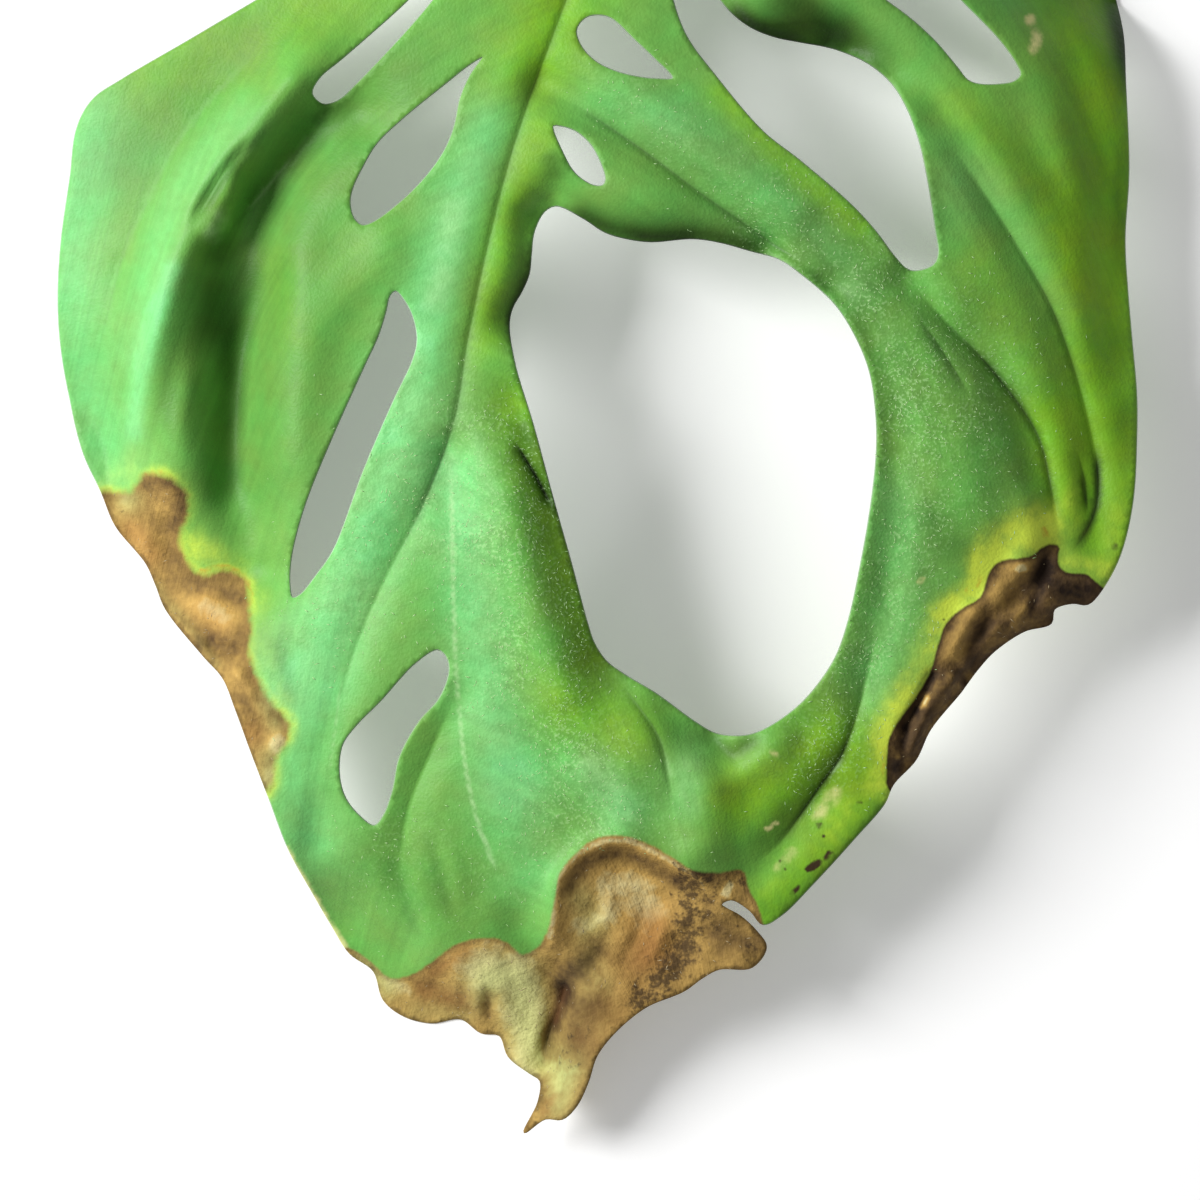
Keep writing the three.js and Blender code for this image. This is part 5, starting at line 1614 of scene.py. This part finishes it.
        marks = {name: strokes_at(spots, strokes) for name, strokes in TINTS.items()}
        broken = 0.55 + 0.45 * eased(ruffle(spots, 2.6, 8), -0.5, 0.5)
        marks["yellow"] = np.maximum(marks["yellow"], halo) * broken
        marks["fleck"] *= 0.4 + 0.6 * eased(ruffle(spots, 3.0, 7), -0.6, 0.6)
        marks["edge"] = self._edge_distance(spots, edge)
        marks.update(found)
        everywhere = np.concatenate([np.arange(count), np.arange(count), edge])
        for name, values in marks.items():
            values = values[everywhere].astype(np.float32)
            mesh.attributes.new(name, "FLOAT", "POINT").data.foreach_set("value", values)
        for name, share in (("fibre_place", marks["fleck"] * (1 - withered)), ("crumb_place", withered)):
            top = np.zeros(len(places), dtype=np.float32)
            top[:count] = share
            mesh.attributes.new(name, "FLOAT", "POINT").data.foreach_set("value", top)
        flow = self.flow(spots)[everywhere].astype(np.float32)
        mesh.attributes.new("flow", "FLOAT_VECTOR", "POINT").data.foreach_set("vector", flow.ravel())
        mesh.validate()
        mesh.update()
        return place_piece("leaf_blade", mesh)

    def _edge_distance(self, spots: np.ndarray, edge: np.ndarray) -> np.ndarray:
        """Measures how far each spot lies from the nearest edge of the blade.

        Args:
            spots: Places on the drawing, one row each.
            edge: Numbers of the spots that lie on an edge.

        Returns:
            The distance for each spot.
        """
        rim = KDTree(len(edge))
        for i in edge:
            rim.insert((*spots[i], 0.0), int(i))
        rim.balance()
        return np.array([rim.find((x, y, 0.0))[2] for x, y in spots])

    def dress(self, blade: bpy.types.Object) -> None:
        """Gives the blade's two faces their materials."""
        for face in LeafFace:
            blade.data.materials.append(LeafTissue(face).material())


def place_piece(name: str, mesh: bpy.types.Mesh) -> bpy.types.Object:
    """Puts a mesh in the scene as an object at the origin.

    Args:
        name: Name of the object.
        mesh: Its mesh.

    Returns:
        The object.
    """
    piece = bpy.data.objects.new(name, mesh)
    bpy.context.scene.collection.objects.link(piece)
    return piece


def new_tree(name: str, sockets: Mapping[str, str]) -> tuple[bpy.types.NodeTree, bpy.types.Node]:
    """Starts a Geometry Nodes tree with named inputs and one geometry output.

    Args:
        name: Name of the tree.
        sockets: Type of each input by its name.

    Returns:
        The tree and its input node.
    """
    tree = bpy.data.node_groups.new(name, "GeometryNodeTree")
    for label, kind in sockets.items():
        tree.interface.new_socket(label, in_out="INPUT", socket_type=kind)
    tree.interface.new_socket("Geometry", in_out="OUTPUT", socket_type="NodeSocketGeometry")
    return tree, add_node(tree, "NodeGroupInput")


def end_tree(tree: bpy.types.NodeTree, geometry: bpy.types.NodeSocket, finish: bpy.types.NodeSocket) -> None:
    """Ends a tree in real, smooth, dressed faces.

    Args:
        tree: The tree.
        geometry: What it has made.
        finish: The material's socket.
    """
    real = add_node(tree, "GeometryNodeRealizeInstances", None, {"Geometry": geometry})
    smooth = add_node(tree, "GeometryNodeSetShadeSmooth", None, {"Geometry": real.outputs[0]})
    dressed = add_node(tree, "GeometryNodeSetMaterial", None, {"Geometry": smooth.outputs[0], "Material": finish})
    add_node(tree, "NodeGroupOutput", None, {0: dressed.outputs[0]})


def grow(name: str, mesh: bpy.types.Mesh, tree: bpy.types.NodeTree, sizes: Mapping[str, Any]) -> bpy.types.Object:
    """Runs a tree on a mesh and keeps the result as a plain piece.

    Args:
        name: Name of the piece.
        mesh: Mesh that the tree starts from.
        tree: Geometry Nodes tree.
        sizes: Value of each named input.

    Returns:
        The piece, with no modifier left on it.
    """
    piece = place_piece(name, mesh)
    modifier = piece.modifiers.new(name, "NODES")
    modifier.node_group = tree
    for socket in tree.interface.items_tree:
        if socket.in_out == "INPUT" and socket.name in sizes:
            modifier[socket.identifier] = sizes[socket.name]
    depsgraph = bpy.context.evaluated_depsgraph_get()
    made = bpy.data.meshes.new_from_object(piece.evaluated_get(depsgraph), depsgraph=depsgraph)
    piece.modifiers.remove(modifier)
    piece.data = made
    made.name = name
    return piece


@dataclass
class StalkAndRibs:
    """The stalk, the midrib that it runs on into, and the side ribs under the blade.

    Attributes:
        blade: The blade that carries the ribs.
        stalk_radius: Radius of the stalk.
        knee_radius: Radius of the swelling where the blade joins.
        midrib_radius: Radius of the midrib at the stalk and at the tip.
        rib_radius: Radius of a side rib at the midrib and at its end.
        cover: Depth of blade left over the midrib.
        sides: Sides of the stalk's and of a side rib's round section.
    """

    blade: LeafBlade
    stalk_radius: float = 2.0
    knee_radius: float = 2.3
    midrib_radius: Point = (1.3, 0.4)
    rib_radius: Point = (0.5, 0.14)
    cover: float = 0.25
    sides: tuple[int, int] = (24, 10)

    def _sweep_tree(self) -> bpy.types.NodeTree:
        """Builds the tree that sweeps a round section along a line, as wide as the line's girth.

        Returns:
            The tree.
        """
        tree, given = new_tree("rib sweep", {
            "Geometry": "NodeSocketGeometry", "Sides": "NodeSocketInt", "Finish": "NodeSocketMaterial",
        })
        girth = add_node(tree, "GeometryNodeInputNamedAttribute", {"data_type": "FLOAT"}, {"Name": "girth"})
        line = add_node(tree, "GeometryNodeMeshToCurve", None, {"Mesh": given.outputs["Geometry"]})
        upright = add_node(tree, "GeometryNodeSetCurveNormal", {"mode": "Z_UP"}, {"Curve": line.outputs[0]})
        section = add_node(tree, "GeometryNodeCurvePrimitiveCircle", None, {
            "Resolution": given.outputs["Sides"], "Radius": 1.0,
        })
        rod = add_node(tree, "GeometryNodeCurveToMesh", None, {
            "Curve": upright.outputs[0],
            "Profile Curve": section.outputs[0],
            "Scale": girth.outputs[0],
            "Fill Caps": True,
        })
        end_tree(tree, rod.outputs[0], given.outputs["Finish"])
        return tree

    def _line_mesh(self, name: str, lines: Sequence[tuple[np.ndarray, np.ndarray]]) -> bpy.types.Mesh:
        """Makes bare lines with their girth, for the sweep.

        Args:
            name: Name of the mesh.
            lines: For each line, its points on the drawing with heights, and its radii.

        Returns:
            The mesh of loose edges.
        """
        places, edges, girths = [], [], []
        for points, radii in lines:
            first = len(places)
            points = points.copy()
            points[:, :2] += self.blade.shift
            points[:, 2] = np.maximum(points[:, 2], radii)
            places.extend((points * MM).tolist())
            edges.extend((first + i, first + i + 1) for i in range(len(points) - 1))
            girths.extend((radii * MM).tolist())
        mesh = bpy.data.meshes.new(name)
        mesh.from_pydata(places, edges, [])
        mesh.attributes.new("girth", "FLOAT", "POINT").data.foreach_set("value", girths)
        return mesh

    def build(self, finish: bpy.types.Material) -> list[bpy.types.Object]:
        """Builds the stalk with the midrib, and the side ribs.

        Args:
            finish: Material of both.

        Returns:
            The two pieces.
        """
        tree = self._sweep_tree()
        rib = smooth_line(MIDRIB[:-1], 1.0)
        radius = np.linspace(*self.midrib_radius, len(rib))
        top = self.blade.survey(rib)["upper"]
        clear = np.min([np.roll(np.pad(top, 3, "edge"), k)[3:-3] for k in range(-3, 4)], axis=0)
        depth = clear - self.cover - radius
        axis = np.vstack([np.array(STALK), np.column_stack([rib, depth])[::2]])
        girth = np.full(len(STALK), self.stalk_radius)
        girth[-1] = self.knee_radius
        girth = np.concatenate([girth, radius[::2]])
        smooth = smooth_line(np.column_stack([axis, girth]), 1.2)
        stalk = grow("leaf_stalk", self._line_mesh("leaf_stalk_line", [(smooth[:, :3], smooth[:, 3])]), tree, {
            "Sides": self.sides[0], "Finish": finish,
        })

        margins = [smooth_line(line, 1.0, closed=True) for line in (MARGIN, *HOLES.values())]
        lines = []
        for line in SIDE_VEINS.values():
            vein = smooth_line(line, 0.8)
            radius = np.linspace(*self.rib_radius, len(vein))
            kept = inside(vein, margins)
            vein, radius = vein[kept], radius[kept]
            height = self.blade.survey(vein)["lower"] - 0.9 * radius
            lines.append((np.column_stack([vein, height]), radius))
        ribs = grow("side_ribs", self._line_mesh("side_rib_lines", lines), tree, {
            "Sides": self.sides[1], "Finish": finish,
        })
        return [stalk, ribs]


@dataclass
class SurfaceFlecks:
    """Slivers scattered on the blade's upper face, lying flat on it.

    Attributes:
        name: Name of the piece.
        where: Attribute of the blade that says how thick they lie.
        per_square_mm: Number on a square millimetre where they lie thickest.
        length: Half length of a sliver in millimetres.
        width: Half width.
        height: Half height.
        seed: Seed of their places.
    """

    name: str
    where: str
    per_square_mm: float
    length: float
    width: float
    height: float
    seed: int

    def _scatter_tree(self) -> bpy.types.NodeTree:
        """Builds the tree that scatters slivers over a surface.

        Returns:
            The tree.
        """
        tree, given = new_tree(f"{self.name} scatter", {
            "Geometry": "NodeSocketGeometry", "Density": "NodeSocketFloat", "Size": "NodeSocketVector",
            "Seed": "NodeSocketInt", "Finish": "NodeSocketMaterial",
        })
        share = add_node(tree, "GeometryNodeInputNamedAttribute", {"data_type": "FLOAT"}, {"Name": self.where})
        density = add_node(tree, "ShaderNodeMath", {"operation": "MULTIPLY"}, {
            0: share.outputs[0], 1: given.outputs["Density"],
        })
        points = add_node(tree, "GeometryNodeDistributePointsOnFaces", None, {
            "Mesh": given.outputs["Geometry"], "Density": density.outputs[0], "Seed": given.outputs["Seed"],
        })
        sliver = add_node(tree, "GeometryNodeMeshUVSphere", None, {"Segments": 4, "Rings": 2, "Radius": 1.0})
        shaped = add_node(tree, "GeometryNodeTransform", None, {
            "Geometry": sliver.outputs[0], "Scale": given.outputs["Size"],
        })
        spin = add_node(tree, "FunctionNodeRandomValue", {"data_type": "FLOAT_VECTOR"}, {
            0: (0.0, 0.0, 0.0), 1: (0.0, 0.0, 6.2832), "Seed": given.outputs["Seed"],
        })
        turn = add_node(tree, "FunctionNodeEulerToRotation", None, {0: spin.outputs[0]})
        laid = add_node(tree, "FunctionNodeRotateRotation", {"rotation_space": "LOCAL"}, {
            0: points.outputs["Rotation"], 1: turn.outputs[0],
        })
        scale = add_node(tree, "FunctionNodeRandomValue", {"data_type": "FLOAT_VECTOR"}, {
            0: (0.3, 0.5, 0.6), 1: (1.3, 1.2, 1.2), "Seed": given.outputs["Seed"],
        })
        placed = add_node(tree, "GeometryNodeInstanceOnPoints", None, {
            "Points": points.outputs[0],
            "Instance": shaped.outputs[0],
            "Rotation": laid.outputs[0],
            "Scale": scale.outputs[0],
        })
        end_tree(tree, placed.outputs[0], given.outputs["Finish"])
        return tree

    def build(self, blade: bpy.types.Object, finish: bpy.types.Material) -> bpy.types.Object:
        """Scatters the slivers over the blade.

        Args:
            blade: The finished blade.
            finish: Material of the slivers.

        Returns:
            The piece.
        """
        return grow(self.name, blade.data.copy(), self._scatter_tree(), {
            "Density": self.per_square_mm / MM**2,
            "Size": (self.length * MM, self.width * MM, self.height * MM),
            "Seed": self.seed,
            "Finish": finish,
        })


@dataclass
class Studio:
    """The paper that the leaf lies on, the light and the camera.

    Attributes:
        shift: Step from the drawing to the part's frame, in millimetres.
        frame_width: Width of the picture at the leaf, in millimetres.
        leaf_height: Height of the leaf that the width is taken at.
        lens: Focal length of the camera, long enough to look nearly straight down all over.
        sensor: Width of its sensor.
        key_from: Direction that the main light comes from.
        key_distance: Its distance from the leaf in metres.
        key_size: Its width in metres, which sets how soft the shadows are.
        key_power: Its power in watts.
        fill: Strength of the even light from all round.
        floor_half: Half width of the paper in metres.
    """

    shift: np.ndarray
    frame_width: float = 120.0
    leaf_height: float = 10.0
    lens: float = 360.0
    sensor: float = 36.0
    key_from: tuple[float, float, float] = (-0.77, 0.25, 0.58)
    key_distance: float = 0.8
    key_size: float = 0.36
    key_power: float = 8.3
    fill: float = 0.276
    floor_half: float = 2.0

    def build(self) -> bpy.types.Object:
        """Sets up the camera, the light and the paper.

        Returns:
            The paper, which isn't part of the leaf.
        """
        scene = bpy.context.scene
        scene.view_settings.view_transform = "Standard"
        middle = Vector((self.shift[0] * MM, self.shift[1] * MM, 0.0))

        camera = bpy.data.objects.new("camera", bpy.data.cameras.new("camera"))
        camera.data.sensor_width = self.sensor
        camera.data.lens = self.lens
        above = (self.frame_width * self.lens / self.sensor + self.leaf_height) * MM
        camera.location = middle + Vector((0.0, 0.0, above))
        camera.data.clip_end = 10.0
        scene.collection.objects.link(camera)
        scene.camera = camera

        key = bpy.data.objects.new("key_light", bpy.data.lights.new("key_light", "AREA"))
        key.data.size = self.key_size
        key.data.energy = self.key_power
        towards = Vector(self.key_from).normalized()
        key.location = middle + towards * self.key_distance
        key.rotation_euler = towards.to_track_quat("Z", "Y").to_euler()
        scene.collection.objects.link(key)

        world = bpy.data.worlds.new("even_light")
        world.use_nodes = True
        world.node_tree.nodes.clear()
        sky = add_node(world.node_tree, "ShaderNodeBackground", None, {
            "Color": (1.0, 1.0, 1.0, 1.0), "Strength": self.fill,
        })
        add_node(world.node_tree, "ShaderNodeOutputWorld", None, {"Surface": sky.outputs[0]})
        scene.world = world

        half = self.floor_half
        corners = [(x + middle.x, y + middle.y, 0.0) for x, y in ((-half, -half), (half, -half), (half, half), (-half, half))]
        mesh = bpy.data.meshes.new("paper")
        mesh.from_pydata(corners, [], [(0, 1, 2, 3)])
        mesh.materials.append(MattPaper().material())
        return place_piece("paper", mesh)


def corners(box: tuple[Vector, Vector]) -> list[list[float]]:
    """Writes a box's two corners as plain lists."""
    return [list(corner) for corner in box]


def main() -> None:
    """Builds the leaf's pieces in order, dresses them and sets up the studio."""
    logging.basicConfig(level=logging.INFO, format="%(name)s: %(message)s")
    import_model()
    low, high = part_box(NODE)
    shift = np.array([low.x, low.y]) / MM - np.min(MARGIN, axis=0)

    blade_maker = LeafBlade(shift)
    blade = blade_maker.build()
    blade_maker.dress(blade)
    stalk, ribs = StalkAndRibs(blade_maker).build(StalkSkin().material(cut_at=high.y))
    flecks = SurfaceFlecks("pale_flecks", "fibre_place", 3.8, 0.27, 0.05, 0.025, seed=5).build(
        blade, FleckFibre("dry scale, pale green", "#cbe6ae", "#86be6a").material(),
    )
    crumbs = SurfaceFlecks("dry_crumbs", "crumb_place", 0.2, 0.3, 0.05, 0.03, seed=6).build(
        blade, FleckFibre("dry crumb, straw", "#d9c79a", "#6d5234").material(),
    )
    for piece in (blade, stalk, ribs, flecks, crumbs):
        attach(piece, BODY)
        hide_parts(NODE)
        LOG.info("%s: %d faces", piece.name, len(piece.data.polygons))
    Studio(shift).build()


if __name__ == "__main__":
    main()
